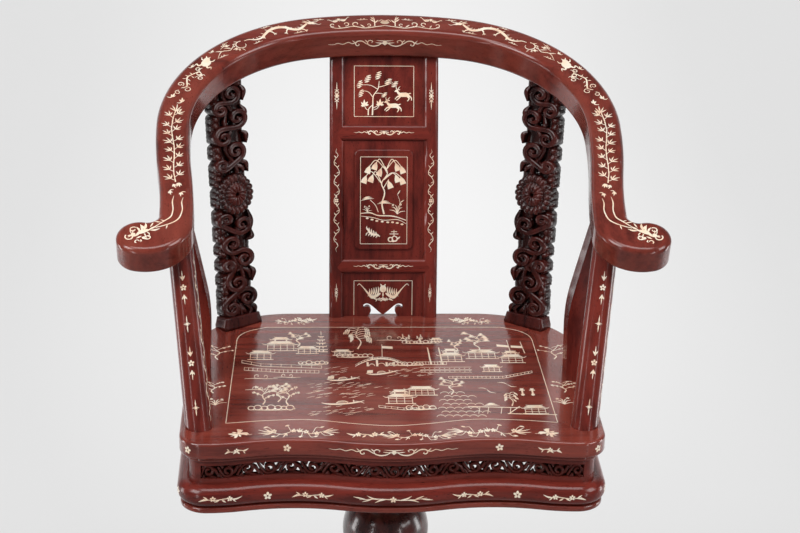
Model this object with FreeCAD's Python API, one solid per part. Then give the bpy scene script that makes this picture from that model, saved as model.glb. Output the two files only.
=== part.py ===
import FreeCAD, Part
import math
import os

# A horseshoe-back armchair of inlaid hardwood whose box seat turns on a
# turned pedestal with four legs. Millimetres, +Z up, the sitter faces -Y.
# The origin is on the floor, on the swivel axis.

os.makedirs("parts", exist_ok=True)
V = FreeCAD.Vector
UP = V(0, 0, 1)

# Driving dimensions of the whole chair
seat_height = 470.0
seat_width = 560.0
seat_front = 207.1
seat_back = 219.0

# Cutting shapes run this far past the pieces they trim
overrun = 200.0
far_reach = 600.0
far_height = 1000.0
splat_trim = 50.0
piercing_reach = 48.0

# Lengths closer than this count as equal
match = 0.001

# Seat plan: a serpentine front, rounded front corners, large back corners
wave_pitch = 262.0
wave_depth = 14.8
front_corner_radius = 35.0
back_corner_radius = 145.0

# The mitre lines run out past the edge by these multiples of the frame's width
front_mitre_stretch = 3.0
back_mitre_stretch = 6.0

# Seat levels and set-backs from the seat's edge
seat_thickness = 24.0
seat_edge_round = 4.0
neck_height = 6.0
neck_setback = 6.0
neck_round = 2.8
frieze_height = 34.0
frieze_setback = 12.0
apron_height = 30.0
apron_overhang = 4.0
apron_round = 13.0
base_bead_height = 8.0
base_bead_round = 3.0
box_inset = 24.0

# Floating seat panel
panel_half_width = 216.0
panel_front = 142.0
panel_back = 163.0
panel_corner = 44.0
panel_thickness = 18.0
tongue_length = 8.0
tongue_thickness = 6.0
tongue_drop = 7.0
batten_width = 34.0
batten_thickness = 16.0
batten_housing = 14.0
batten_front_y = -70.0
batten_back_y = 80.0

# Frieze piercings
frieze_window_height = 19.0
frieze_hole_pitch = 22.0
frieze_hole_radius = 4.6
frieze_end_margin = 26.0

# Corner blocks and bearers inside the seat box
block_size = 58.0
bearer_spread = 74.0
bearer_width = 52.0
bearer_depth = 34.0
bearer_tenon_width = 26.0
bearer_tenon_height = 14.0
bearer_tenon_length = 12.0

# Horseshoe rail: a slab in a plane that climbs to the back
rail_slope_deg = 20.0
rail_height = 314.3
rail_width = 46.0
rail_arm_width = 44.5
rail_crest_thickness = 46.5
rail_hand_thickness = 40.5
rail_top_round = 8.0
rail_bottom_round = 5.0
crest_radius = 640.0
crest_half_angle_deg = 10.0
crest_reach = 342.0
shoulder_radius = 250.0
arm_outer_x = 304.5
arm_end_v = -107.5
fillet_radius = 14.0
hand_radius = 28.0
hand_reach = 24.7
hand_drop = 40.9
palm_radius = 60.0
palm_setback = 12.7
lap_length = 45.0
crest_seam_deg = 37.0
hand_seam_v = -72.0
peg_size = 8.0
peg_cover = 8.0

# Splat between the seat's back edge and the crest
splat_width = 159.0
splat_foot_y = 200.6
splat_top_setback = 18.3
splat_top_height = 370.0
splat_sagitta = 12.0
splat_thickness = 18.0
stile_width = 21.5
splat_round = 5.0
splat_rail_depth = 15.0
splat_point = 10.0
splat_panel_relief = 5.0
splat_panel_depth = 12.0
splat_tongue = 5.0
splat_tongue_front = 7.5
lower_rail_bottom = 67.0
lower_rail_top = 88.0
upper_rail_bottom = 262.6
upper_rail_top = 286.0
plaque_bottom = 102.0
plaque_top = 250.0
plaque_width = 86.6
plaque_rise = 3.5
plaque_corner = 9.0
plaque_round = 2.0
cloud_reach = 29.2
cloud_rise = 19.2
splat_tenon_width = 11.0
splat_tenon_thickness = 7.0
splat_tenon_depth = 3.0

# Front, side and carved posts
front_post_x = 254.8
front_post_y = -159.0
front_post_top_x = 278.0
front_post_top_y = -102.0
front_post_diameter = 36.5
front_post_top_diameter = 33.0
post_tenon_diameter = 18.0
post_tenon_length = 18.0
rail_mortise_depth = 10.0
side_post_x = 258.0
side_post_y = 0.0
side_post_top_x = 284.0
side_post_top_y = -68.0
side_post_thickness = 24.0
side_post_foot_width = 44.0
side_post_top_width = 30.0
carved_post_x = 212.0
carved_post_y = 178.0
carved_post_turn_deg = 38.0
carved_post_setback = 261.0
carved_post_sway = 21.5
carved_post_width = 61.0
carved_post_thickness = 28.0
carved_foot_height = 22.0
carved_foot_flare = 3.0
carved_notch = 5.0
carved_lobes = 12
carved_post_excess = 96.0
carved_hole_radius = 5.0
carved_small_hole_radius = 3.5
rosette_radius = 30.0
rosette_disc_radius = 27.0
rosette_rise = 5.0
rosette_height = 195.0
rosette_eye_radius = 3.0
rosette_petals = 16
carved_tenon_width = 26.0
carved_tenon_thickness = 10.0

# Swivel: plate and spindle above, socket and races below
plate_size = 200.0
plate_thickness = 6.0
plate_corner_radius = 12.0
plate_screw_spread = 74.0
spindle_radius = 15.95
socket_bore_radius = 16.0
socket_tube_radius = 20.0
socket_length = 158.0
socket_flange_radius = 60.0
socket_flange_thickness = 6.0
race_outer_radius = 41.0
race_inner_radius = 17.0
race_thickness = 3.0
ball_radius = 4.0
ball_circle_radius = 30.0
ball_count = 16
ball_clearance = 0.05
groove_depth = 1.0
cage_thickness = 2.0
cage_half_width = 7.0
flange_screw_circle = 51.0
flange_screw_count = 6
retainer_gap = 0.4
washer_thickness = 3.0
ring_thickness = 2.0
ring_bite = 1.5
spindle_tail = 8.0
screw_head_radius = 5.0
screw_head_height = 3.0
screw_shank_radius = 2.4
plate_screw_length = 28.0
flange_screw_length = 18.0

# Turned column
hub_radius = 62.0
hub_bottom = 64.0
hub_top = 152.0
hub_bead_radius = 7.0
column_neck_radius = 40.0
column_ball_radius = 61.0
column_waist_radius = 33.0
column_collar_radius = 66.0
column_collar_thickness = 12.0
column_head_gap = 4.0
column_access_radius = 22.0

# Shares of the column's shaft, from the hub's bead up to the collar
ball_share = 0.3516
ball_rise_share = 0.2476
waist_share = 0.785
waist_flare_share = 0.4
waist_rise_share = 0.7

# Legs, base plate and glides
leg_reach = 337.0
leg_thickness = 46.0
leg_edge_round = 9.0
leg_root_height = 84.0
foot_height = 52.0
foot_length = 66.0
glide_radius = 17.0
glide_thickness = 3.0
dovetail_length = 13.0
dovetail_neck = 18.0
dovetail_root = 26.0
dovetail_collar = 4.0
base_plate_radius = 82.0
base_plate_thickness = 4.0
base_screw_length = 24.0
base_screw_circle = 72.0
hub_screw_circle = 44.0

# Levels that follow from the sizes above
seat_under = seat_height - seat_thickness
neck_bottom = seat_under - neck_height
frieze_bottom = neck_bottom - frieze_height
apron_bottom = frieze_bottom - apron_height
box_bottom = apron_bottom - base_bead_height
flange_bottom = box_bottom - column_head_gap
flange_top = flange_bottom + socket_flange_thickness
lower_race_top = flange_top + race_thickness
ball_level = lower_race_top - groove_depth + ball_radius + ball_clearance
upper_race_bottom = ball_level + ball_radius + ball_clearance - groove_depth
plate_bottom = upper_race_bottom + race_thickness
plate_top = plate_bottom + plate_thickness
bearer_top = plate_top + bearer_depth
socket_bottom = flange_top - socket_length
rail_level = seat_height + rail_height
half_seat = seat_width / 2
hand_centre_x = arm_outer_x + hand_reach
crest_y = crest_reach * math.cos(math.radians(rail_slope_deg))
splat_top_y = crest_y - splat_top_setback
carved_post_lean = crest_y - carved_post_setback
hand_centre_v = arm_end_v - hand_drop
collar_bottom = flange_bottom - column_collar_thickness
hub_bead_top = hub_top + 2 * hub_bead_radius
shaft_height = collar_bottom - hub_bead_top

made = {}


def arc(a, b, c):
    """An arc edge from a through b to c."""
    return Part.Arc(a, b, c).toShape()


def line(a, b):
    return Part.LineSegment(a, b).toShape()


def spline(points):
    """A smooth edge through the points."""
    curve = Part.BSplineCurve()
    curve.interpolate(points)
    return curve.toShape()


def polygon_face(points):
    return Part.Face(Part.makePolygon(list(points) + [points[0]]))


def block(x, y, z):
    """A box between pairs of limits along each axis."""
    return Part.makeBox(x[1] - x[0], y[1] - y[0], z[1] - z[0], V(x[0], y[0], z[0]))


def tube(outer, inner, bottom, top):
    ring = Part.makeCylinder(outer, top - bottom, V(0, 0, bottom))
    return ring.cut(Part.makeCylinder(inner, top - bottom, V(0, 0, bottom)))


def mirrored(shape):
    """The same piece on the other side of the chair."""
    return shape.mirror(V(0, 0, 0), V(1, 0, 0))


def both(shape):
    return [shape, mirrored(shape)]


def edges_where(shape, keep):
    return [edge for edge in shape.Edges if keep(edge)]


def edges_at(shape, level):
    """The edges that lie flat at one height."""
    def flat(edge):
        box = edge.BoundBox
        return abs(box.ZMin - level) < match and abs(box.ZMax - level) < match
    return edges_where(shape, flat)


def screw(x, y, head_level, length, downward):
    """A countersunk wood screw, its head flush at head_level."""
    way = -1 if downward else 1
    head = Part.makeCone(screw_head_radius, screw_shank_radius, screw_head_height,
                         V(x, y, head_level), V(0, 0, way))
    shank = Part.makeCylinder(screw_shank_radius, length, V(x, y, head_level), V(0, 0, way))
    return head.fuse(shank).removeSplitter()


def around(radius, count, start_deg=0.0):
    """Points evenly spaced on a circle about the swivel axis."""
    for k in range(count):
        turn = math.radians(start_deg + 360.0 * k / count)
        yield radius * math.cos(turn), radius * math.sin(turn)


def cut_all(shape, tools):
    return shape.cut(Part.makeCompound(list(tools)))


def save(name, shape):
    """Keep a finished piece, or a group of separate solids, under its name."""
    made[name] = shape


# Seat plan

def seat_outline():
    """The seat's edge at floor level: a wavy front, round corners, straight back.

    The wave is a chain of equal arcs that meet at their inflections, and a
    last, tighter arc levels out where the front corner starts.
    """
    reach, rise = wave_pitch / 4, wave_depth / 2
    wave_radius = (reach ** 2 + rise ** 2) / (2 * rise)
    swing = math.asin(reach / wave_radius)
    knots = [V(reach * k, -seat_front, 0) for k in (-1, 1, 3)]
    crests = [V(0, -seat_front - rise, 0), V(reach * 2, -seat_front + rise, 0)]
    edges = [arc(knots[0], crests[0], knots[1])]
    hollow = arc(knots[1], crests[1], knots[2])

    corner_x = half_seat - front_corner_radius
    lobe_radius = (corner_x - knots[2].x) / math.sin(swing)
    lobe_centre = V(corner_x, knots[2].y + lobe_radius * math.cos(swing), 0)
    tip = lobe_centre - V(0, lobe_radius, 0)
    lobe = lobe_centre - V(math.sin(swing / 2), math.cos(swing / 2), 0) * lobe_radius
    corner = tip + V(0, front_corner_radius, 0)
    dip = front_corner_radius * math.sin(math.pi / 4)
    side_low = V(half_seat, corner.y, 0)
    side_high = V(half_seat, seat_back - back_corner_radius, 0)
    back_x = half_seat - back_corner_radius
    turn = back_corner_radius * math.sin(math.pi / 4)
    back_end = V(back_x, seat_back, 0)
    half = [hollow, arc(knots[2], lobe, tip), arc(tip, corner + V(dip, -dip, 0), side_low),
            line(side_low, side_high),
            arc(side_high, V(back_x + turn, side_high.y + turn, 0), back_end)]
    edges += half + [mirrored(edge) for edge in half]
    edges.append(line(back_end, V(-back_end.x, back_end.y, 0)))
    return Part.Face(Part.Wire(Part.__sortEdges__(edges)))


plan = seat_outline()


def tier(bottom, top, grow):
    """A solid slab of the seat's plan, grown or shrunk, between two levels."""
    face = plan.makeOffset2D(grow) if grow else plan.copy()
    face.translate(V(0, 0, bottom))
    return face.extrude(V(0, 0, top - bottom))


core = tier(box_bottom - overrun, seat_height + overrun, -box_inset)


def mitre_tools():
    """Four wedges that part a frame at its corners: front, back, right, left."""
    front_in = V(panel_half_width, -panel_front, 0)
    front_out = V(half_seat, -(seat_front + wave_depth / 2), 0)
    back_in = V(panel_half_width - panel_corner / 2, panel_back - panel_corner / 2, 0)
    swing = back_corner_radius * math.sin(math.pi / 4)
    back_out = V(half_seat - back_corner_radius + swing,
                 seat_back - back_corner_radius + swing, 0)
    far_front = front_in + (front_out - front_in) * front_mitre_stretch
    far_back = back_in + (back_out - back_in) * back_mitre_stretch
    flip = lambda p: V(-p.x, p.y, 0)
    front = [front_in, far_front, flip(far_front), flip(front_in)]
    back = [back_in, far_back, flip(far_back), flip(back_in)]
    right = [front_in, far_front, V(far_back.x, far_front.y, 0), far_back, back_in]
    left = [flip(p) for p in right]
    tools = []
    for points in (front, back, right, left):
        tools.append(polygon_face(points).extrude(UP * (seat_height + overrun)))
    return tools


wedges = mitre_tools()


def mitred(ring):
    """The four lengths of a ring, in the order front, back, right, left."""
    return [ring.common(wedge) for wedge in wedges]


# Posts that stand on the seat and carry the rail

def above_rail_base(lift):
    """All that lies above the rail's underside, or a lift above it, in its own frame."""
    t_back, t_front = rail_crest_thickness - lift, rail_hand_thickness - lift
    v_back, v_front = crest_reach, hand_centre_v
    slope = (t_back - t_front) / (v_back - v_front)
    low_v, high_v = v_front - far_reach, v_back + far_reach
    points = [V(0, low_v, -(t_front - slope * far_reach)),
              V(0, high_v, -(t_back + slope * far_reach)),
              V(0, high_v, far_reach), V(0, low_v, far_reach)]
    tool = polygon_face(points)
    tool.translate(V(-far_reach, 0, 0))
    return tool.extrude(V(2 * far_reach, 0, 0))


def in_rail_frame(shape):
    """Move a shape from the rail's flat frame to its place on the chair."""
    placed = shape.copy()
    placed.rotate(V(0, 0, 0), V(1, 0, 0), rail_slope_deg)
    placed.translate(V(0, 0, rail_level))
    return placed


above_underside = in_rail_frame(above_rail_base(0))
mortise_bed = in_rail_frame(above_rail_base(rail_mortise_depth))
wide = (-far_reach, far_reach)
above_seat = block(wide, wide, (seat_height, seat_height + far_height))
above_tenon = block(wide, wide, (seat_height - post_tenon_length, seat_height + far_height))


def shouldered(body, tenon):
    """Trim a post to seat and rail, and give it its tenons."""
    shaft = body.common(above_seat).cut(above_underside)
    pins = tenon.common(above_tenon).cut(mortise_bed)
    return shaft.fuse(pins).removeSplitter(), pins


def front_post():
    foot = V(front_post_x, front_post_y, seat_height)
    top = V(front_post_top_x, front_post_top_y, seat_height + rail_height)
    rail_gap = math.tan(math.radians(rail_slope_deg)) * front_post_top_y
    top.z = rail_level + rail_gap - rail_hand_thickness
    way = top - foot
    length = way.Length
    way.normalize()
    low, high = front_post_diameter / 2, front_post_top_diameter / 2
    spread = (low - high) / length
    start = foot - way * overrun
    body = Part.makeCone(low + spread * overrun, high - spread * overrun,
                         length + 2 * overrun, start, way)
    tenon = Part.makeCylinder(post_tenon_diameter / 2, length + 2 * overrun, start, way)
    return shouldered(body, tenon)


def side_post():
    """A curved post: upright at its foot, then swept forward and out to the arm."""
    top = rail_level + math.tan(math.radians(rail_slope_deg)) * side_post_top_y
    rise = top - seat_height
    rise_shares = (-0.2, 0.0, 0.14, 0.32, 0.5, 0.68, 0.86, 1.0, 1.12)
    swing_shares = (0.0, 0.0, 0.015, 0.10, 0.30, 0.56, 0.83, 1.0, 1.06)
    spread_shares = (0.0, 0.0, -0.03, -0.07, 0.14, 0.46, 0.78, 1.0, 1.12)

    def section(up, swing, spread, width, thickness):
        x = side_post_x + (side_post_top_x - side_post_x) * spread
        y = side_post_y + (side_post_top_y - side_post_y) * swing
        z = seat_height + rise * up
        corners = [V(x + i * thickness / 2, y + j * width / 2, z)
                   for i, j in ((-1, -1), (1, -1), (1, 1), (-1, 1))]
        return Part.makePolygon(corners + corners[:1])

    body, tenon = [], []
    for up, swing, spread in zip(rise_shares, swing_shares, spread_shares):
        taper = min(max(up, 0), 1)
        width = side_post_foot_width + (side_post_top_width - side_post_foot_width) * taper
        body.append(section(up, swing, spread, width, side_post_thickness))
        tenon.append(section(up, swing, spread, post_tenon_diameter, side_post_thickness / 2))
    return shouldered(Part.makeLoft(body, True), Part.makeLoft(tenon, True))


def carved_post():
    """A pierced, scalloped post that faces the seat's middle and leans back."""
    half = carved_post_width / 2
    height = rail_height + carved_post_excess
    notch = half - carved_notch
    step = (height - carved_foot_height) / carved_lobes
    face_y = -carved_post_thickness / 2
    right = []
    for k in range(carved_lobes):
        low = carved_foot_height + step * k
        right.append(arc(V(notch, face_y, low), V(half, face_y, low + step / 2),
                         V(notch, face_y, low + step)))
    foot_half = half + carved_foot_flare
    foot_top, peak = V(foot_half, face_y, carved_foot_height), V(notch, face_y, height)
    foot_low = V(foot_half, face_y, -post_tenon_length)
    right += [line(V(notch, face_y, carved_foot_height), foot_top), line(foot_top, foot_low)]
    left = [mirrored(edge) for edge in right]
    ends = [line(peak, V(-peak.x, face_y, peak.z)),
            line(foot_low, V(-foot_low.x, face_y, foot_low.z))]
    wire = Part.Wire(Part.__sortEdges__(right + left + ends))
    body = Part.Face(wire).extrude(V(0, carved_post_thickness, 0))
    holes = []
    for k in range(1, carved_lobes - 1):
        level = carved_foot_height + step * (k + 0.5)
        if abs(level - rosette_height) < rosette_radius + carved_hole_radius:
            continue
        side = half / 3 * (-1 if k % 2 else 1)
        for x, r in ((side, carved_hole_radius), (-side, carved_small_hole_radius)):
            holes.append(Part.makeCylinder(r, carved_post_thickness * 2,
                                           V(x, -carved_post_thickness, level), V(0, 1, 0)))
    body = cut_all(body, holes)
    centre = V(0, face_y - rosette_rise, rosette_height)
    rosette = Part.makeCylinder(rosette_disc_radius, rosette_rise * 2, centre, V(0, 1, 0))
    bead = rosette_radius * math.sin(math.pi / rosette_petals)
    for x, z in around(rosette_radius - bead, rosette_petals):
        rosette = rosette.fuse(Part.makeCylinder(bead, rosette_rise * 2,
                                                 centre + V(x, 0, z), V(0, 1, 0)))
    eye = Part.makeCylinder(rosette_eye_radius, carved_post_thickness * 2, centre, V(0, 1, 0))
    body = body.fuse(rosette).cut(eye)
    tenon = block((-carved_tenon_width / 2, carved_tenon_width / 2),
                  (-carved_tenon_thickness / 2, carved_tenon_thickness / 2),
                  (-overrun, height + overrun))
    lean = math.degrees(math.atan2(carved_post_lean, height - carved_post_thickness))
    sway = math.degrees(math.atan2(carved_post_sway, height - carved_post_thickness))
    for shape in (body, tenon):
        shape.rotate(V(0, 0, 0), V(0, 1, 0), -sway)
        shape.rotate(V(0, 0, 0), V(1, 0, 0), -lean)
        shape.rotate(V(0, 0, 0), V(0, 0, 1), -carved_post_turn_deg)
        shape.translate(V(carved_post_x, carved_post_y, seat_height))
    return shouldered(body, tenon)


# Splat: bands between arcs about one far centre behind the chair

chord_foot = V(0, splat_foot_y, seat_height)
chord_top = V(0, splat_top_y, seat_height + splat_top_height)
chord = chord_top - chord_foot
splat_radius = chord.Length ** 2 / (8 * splat_sagitta) + splat_sagitta / 2
chord_way = V(chord)
chord_way.normalize()
chord_back = V(0, chord_way.z, -chord_way.y)
splat_centre = (chord_foot + chord_top) / 2 + chord_back * (splat_radius - splat_sagitta)
foot_ray = chord_foot - splat_centre
foot_angle = math.atan2(foot_ray.z, foot_ray.y)


def splat_point_at(depth, along):
    """The point at a depth behind the splat's face, along its curve from the seat."""
    radius = splat_radius - depth
    angle = foot_angle - along / splat_radius
    return splat_centre + V(0, radius * math.cos(angle), radius * math.sin(angle))


def splat_band(x_limits, depth_limits, along_limits):
    """A curved board: limits across, from the face inwards, and up from the seat."""
    (near, deep), (low, high) = depth_limits, along_limits
    middle = (low + high) / 2
    p = splat_point_at
    edges = [arc(p(near, low), p(near, middle), p(near, high)), line(p(near, high), p(deep, high)),
             arc(p(deep, high), p(deep, middle), p(deep, low)), line(p(deep, low), p(near, low))]
    face = Part.Face(Part.Wire(edges))
    face.translate(V(x_limits[0], 0, 0))
    return face.extrude(V(x_limits[1] - x_limits[0], 0, 0))


def cloud_half():
    """One half of the cloud-head opening at the splat's foot, open to the seat.

    Each curve is a smooth line through shares of the opening's reach and rise:
    down from the hooked end to the middle point, and from it to the seat.
    """
    upper_shares = ((0.0, 0.14), (0.25, 0.42), (0.50, 0.76), (0.68, 0.95),
                    (0.86, 1.0), (0.98, 0.90), (1.0, 0.76), (0.94, 0.66))
    hook_shares = ((0.94, 0.66), (0.86, 0.77), (0.74, 0.78), (0.63, 0.64),
                   (0.61, 0.42), (0.68, 0.18), (0.77, -0.05))

    def place(share):
        return V(cloud_reach * share[0], 0, seat_height + cloud_rise * share[1])

    upper = [place(share) for share in upper_shares]
    hook = [place(share) for share in hook_shares]
    foot = V(0, 0, hook[-1].z)
    wire = Part.Wire([spline(upper), spline(hook), line(hook[-1], foot), line(foot, upper[0])])
    return Part.Face(wire).extrude(V(0, far_reach, 0))


def splat_pieces():
    half = splat_width / 2
    inner = half - stile_width
    below, beyond = -splat_trim, splat_top_height + 2 * splat_trim
    stile = splat_band((inner, half), (0, splat_thickness), (below, beyond))

    def front_edges(shape, depth, longer_than):
        """The edges that lie at a depth behind the splat's face, past a length."""
        def at_depth(edge):
            middle = (edge.FirstParameter + edge.LastParameter) / 2
            p = edge.valueAt(middle)
            from_centre = math.hypot(p.y - splat_centre.y, p.z - splat_centre.z)
            return edge.Length > longer_than and abs(from_centre - splat_radius + depth) < match
        return edges_where(shape, at_depth)

    stile = stile.makeFillet(splat_round, front_edges(stile, 0, splat_top_height))
    middle_x = (inner + half) / 2
    tenon = splat_band((middle_x - splat_tenon_width / 2, middle_x + splat_tenon_width / 2),
                       (splat_tenon_depth, splat_tenon_depth + splat_tenon_thickness),
                       (below, beyond))
    stile, pins = shouldered(stile, tenon)

    def cross_rail(low, high):
        """A rail whose pointed ends lie in notches in the stiles: square, and rounded."""
        rail = splat_band((-inner - splat_point, inner + splat_point),
                          (0, splat_rail_depth), (low, high))
        rounded = rail.makeFillet(splat_round, front_edges(rail, 0, inner))
        z_low, z_high = rail.BoundBox.ZMin, rail.BoundBox.ZMax
        z_mid = (z_low + z_high) / 2
        tip, end = inner + splat_point, inner
        points = [V(-end, 0, z_low - overrun), V(end, 0, z_low - overrun), V(end, 0, z_low),
                  V(tip, 0, z_mid), V(end, 0, z_high), V(end, 0, z_high + overrun),
                  V(-end, 0, z_high + overrun), V(-end, 0, z_high), V(-tip, 0, z_mid),
                  V(-end, 0, z_low)]
        pointed = polygon_face(points).extrude(V(0, far_reach, 0))
        return rail.common(pointed), rounded.common(pointed)

    def panel(low, high):
        """A panel held by tongues in the stiles."""
        board = splat_band((-inner, inner), (splat_panel_relief, splat_panel_depth), (low, high))
        tongue = splat_band((-inner - splat_tongue, inner + splat_tongue),
                            (splat_tongue_front, splat_panel_depth), (low, high))
        return board.fuse(tongue).removeSplitter()

    lower_notch, lower_rail = cross_rail(lower_rail_bottom, lower_rail_top)
    upper_notch, upper_rail = cross_rail(upper_rail_bottom, upper_rail_top)
    bottom = panel(below, lower_rail_bottom).common(above_seat)
    panels = {"splat_bottom_panel": cut_all(bottom, both(cloud_half())),
              "splat_top_panel": panel(upper_rail_top, beyond).cut(above_underside)}
    middle = panel(lower_rail_top, upper_rail_bottom)
    plaque = splat_band((-plaque_width / 2, plaque_width / 2),
                        (splat_panel_relief - plaque_rise, splat_panel_relief),
                        (plaque_bottom, plaque_top))
    corners = edges_where(plaque, lambda e: abs(e.Length - plaque_rise) < match)
    plaque = plaque.makeFillet(plaque_corner, corners)
    rim = front_edges(plaque, splat_panel_relief - plaque_rise, 0)
    panels["splat_middle_panel"] = middle.fuse(plaque.makeFillet(plaque_round, rim))
    stile = cut_all(stile, [lower_notch, upper_notch] + list(panels.values()))
    panels.update(splat_lower_rail=lower_rail, splat_upper_rail=upper_rail)
    for name, shape in panels.items():
        save(name, shape)
    save("splat_stile_right", stile)
    save("splat_stile_left", mirrored(stile))
    return both(pins)


# Rail sections

def rail_outline():
    """The horseshoe in its own plane, from tangent arcs; v runs up the slope."""
    turn = math.radians(crest_half_angle_deg)
    crest_centre = V(0, crest_reach - crest_radius, 0)
    shoulder_centre = crest_centre + V(math.sin(turn), math.cos(turn), 0) * (
        crest_radius - shoulder_radius)
    inner_crest = crest_radius - rail_width
    inner_shoulder = shoulder_radius - rail_width

    def around_centre(centre, radius, angle_deg):
        a = math.radians(angle_deg)
        return centre + V(radius * math.cos(a), radius * math.sin(a), 0)

    seam = 90 - crest_half_angle_deg
    top, top_in = crest_centre + V(0, crest_radius, 0), crest_centre + V(0, inner_crest, 0)
    a1 = around_centre(crest_centre, crest_radius, seam)
    a2 = around_centre(shoulder_centre, shoulder_radius, 0)
    b1 = around_centre(crest_centre, inner_crest, seam)
    b2 = around_centre(shoulder_centre, inner_shoulder, 0)
    outer_end = V(arm_outer_x, arm_end_v, 0)
    inner_end = V(arm_outer_x - rail_arm_width, arm_end_v - palm_setback, 0)

    def s_curve(a, b):
        """Two equal arcs from a to b, both leaving along v."""
        mid = (a + b) / 2
        return [arc(a, V(a.x + (b.x - a.x) / 8, a.y + (b.y - a.y) / 4, 0), mid),
                arc(mid, V(b.x - (b.x - a.x) / 8, b.y - (b.y - a.y) / 4, 0), b)]

    hollow = outer_end + V(fillet_radius, 0, 0)
    hand = V(hand_centre_x, hand_centre_v, 0)
    link = hand - hollow
    link.normalize()
    hollow_end = hollow + link * fillet_radius
    bend = (V(-1, 0, 0) + link)
    bend.normalize()
    palm = inner_end + V(palm_radius, 0, 0)
    palm_way = hand - palm
    palm_way.normalize()
    palm_end = palm + palm_way * palm_radius
    palm_bend = V(-1, 0, 0) + palm_way
    palm_bend.normalize()
    half = [arc(top, around_centre(crest_centre, crest_radius, (90 + seam) / 2), a1),
            arc(a1, around_centre(shoulder_centre, shoulder_radius, seam / 2), a2)]
    half += s_curve(a2, outer_end)
    half += [arc(outer_end, hollow + bend * fillet_radius, hollow_end),
             arc(hollow_end, hand + V(hand_radius, 0, 0), palm_end),
             arc(palm_end, palm + palm_bend * palm_radius, inner_end)]
    half += s_curve(inner_end, b2)
    half += [arc(b2, around_centre(shoulder_centre, inner_shoulder, seam / 2), b1),
             arc(b1, around_centre(crest_centre, inner_crest, (90 + seam) / 2), top_in)]
    whole = half + [mirrored(edge) for edge in half]
    return Part.Face(Part.Wire(Part.__sortEdges__(whole))), shoulder_centre


def rail_sections(mortises):
    """Crest, two arms and two hands, lapped and pegged where they meet."""
    outline, shoulder = rail_outline()
    deep = rail_crest_thickness * 2
    slab = outline.extrude(V(0, 0, -deep)).common(above_rail_base(0))
    shallow = rail_hand_thickness / 2
    for size, level in ((rail_top_round, 0), (rail_bottom_round, -rail_crest_thickness)):
        rim = edges_where(slab, lambda e: e.BoundBox.ZLength < shallow
                          and abs(e.BoundBox.Center.z - level) < shallow)
        slab = slab.makeFillet(size, rim)
    half_level = -(rail_hand_thickness + rail_crest_thickness) / 4

    def crest_side(angle_deg, low, high):
        """The part of the rail beyond a radial cut, towards the hand."""
        a = math.radians(angle_deg)
        out = V(math.cos(a), math.sin(a), 0)
        end = shoulder + out * far_reach
        points = [shoulder, end, end - V(0, far_height, 0), V(0, -far_height, 0),
                  V(0, shoulder.y, 0)]
        face = polygon_face(points)
        face.translate(V(0, 0, low))
        return face.extrude(V(0, 0, high - low))

    lap_deg = math.degrees(lap_length / (shoulder_radius - rail_width / 2))
    beyond_crest = crest_side(crest_seam_deg, half_level, deep).fuse(
        crest_side(crest_seam_deg - lap_deg, -deep, half_level))
    across = (0, far_reach)
    beyond_arm = block(across, (-far_reach, hand_seam_v), (half_level, deep)).fuse(
        block(across, (-far_reach, hand_seam_v + lap_length), (-deep, half_level)))
    peg_turn = math.radians(crest_seam_deg - lap_deg / 2)
    peg_arm = shoulder_radius - rail_width / 2
    spots = [shoulder + V(math.cos(peg_turn), math.sin(peg_turn), 0) * peg_arm,
             V(arm_outer_x - rail_arm_width / 2, hand_seam_v + lap_length / 2, 0)]
    half_peg = peg_size / 2
    pegs = [block((p.x - half_peg, p.x + half_peg), (p.y - half_peg, p.y + half_peg),
                  (-deep, -peg_cover)).common(slab) for p in spots]
    pegs = [peg for right_peg in pegs for peg in both(right_peg)]
    crest = slab.cut(Part.makeCompound(both(beyond_crest)))
    right_arm = slab.common(beyond_crest).cut(beyond_arm)
    right_hand = slab.common(beyond_crest).common(beyond_arm)
    named = {"crest_rail": crest, "arm_rail_right": right_arm, "hand_rail_right": right_hand,
             "arm_rail_left": mirrored(right_arm), "hand_rail_left": mirrored(right_hand)}
    for name, shape in named.items():
        placed = in_rail_frame(cut_all(shape, pegs))
        save(name, cut_all(placed, mortises))
    save("rail_pegs", Part.makeCompound([in_rail_frame(peg) for peg in pegs]))


# Seat frame and box

def panel_outline(grow):
    w, c = panel_half_width + grow, panel_corner
    low, high = -panel_front - grow, panel_back + grow
    right = [V(w, low, 0), V(w, high - c, 0), V(w - c, high, 0)]
    left = [V(-p.x, p.y, 0) for p in reversed(right)]
    return polygon_face(right + left)


def seat_frame(tenons):
    slab = tier(seat_under, seat_height, 0)
    rims = edges_at(slab, seat_under) + edges_at(slab, seat_height)
    slab = slab.makeFillet(seat_edge_round, rims)
    field = panel_outline(0)
    field.translate(V(0, 0, seat_height - panel_thickness))
    field = field.extrude(V(0, 0, panel_thickness))
    tongue = panel_outline(tongue_length)
    tongue.translate(V(0, 0, seat_height - tongue_drop - tongue_thickness))
    tongue = tongue.extrude(V(0, 0, tongue_thickness))
    panel = field.fuse(tongue).removeSplitter()
    opening = panel_outline(0)
    opening.translate(V(0, 0, seat_under))
    ring = slab.cut(opening.extrude(V(0, 0, seat_thickness))).cut(tongue)
    batten_top = seat_height - panel_thickness
    reach = panel_half_width + batten_housing
    battens = [block((-reach, reach), (y - batten_width / 2, y + batten_width / 2),
                     (batten_top - batten_thickness, batten_top))
               for y in (batten_front_y, batten_back_y)]
    ring = cut_all(ring, battens + list(tenons))
    names = ("seat_front_rail", "seat_back_rail", "seat_side_rail_right", "seat_side_rail_left")
    for name, shape in zip(names, mitred(ring)):
        save(name, shape)
    save("seat_panel", panel)
    save("seat_battens", Part.makeCompound(battens))


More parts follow.
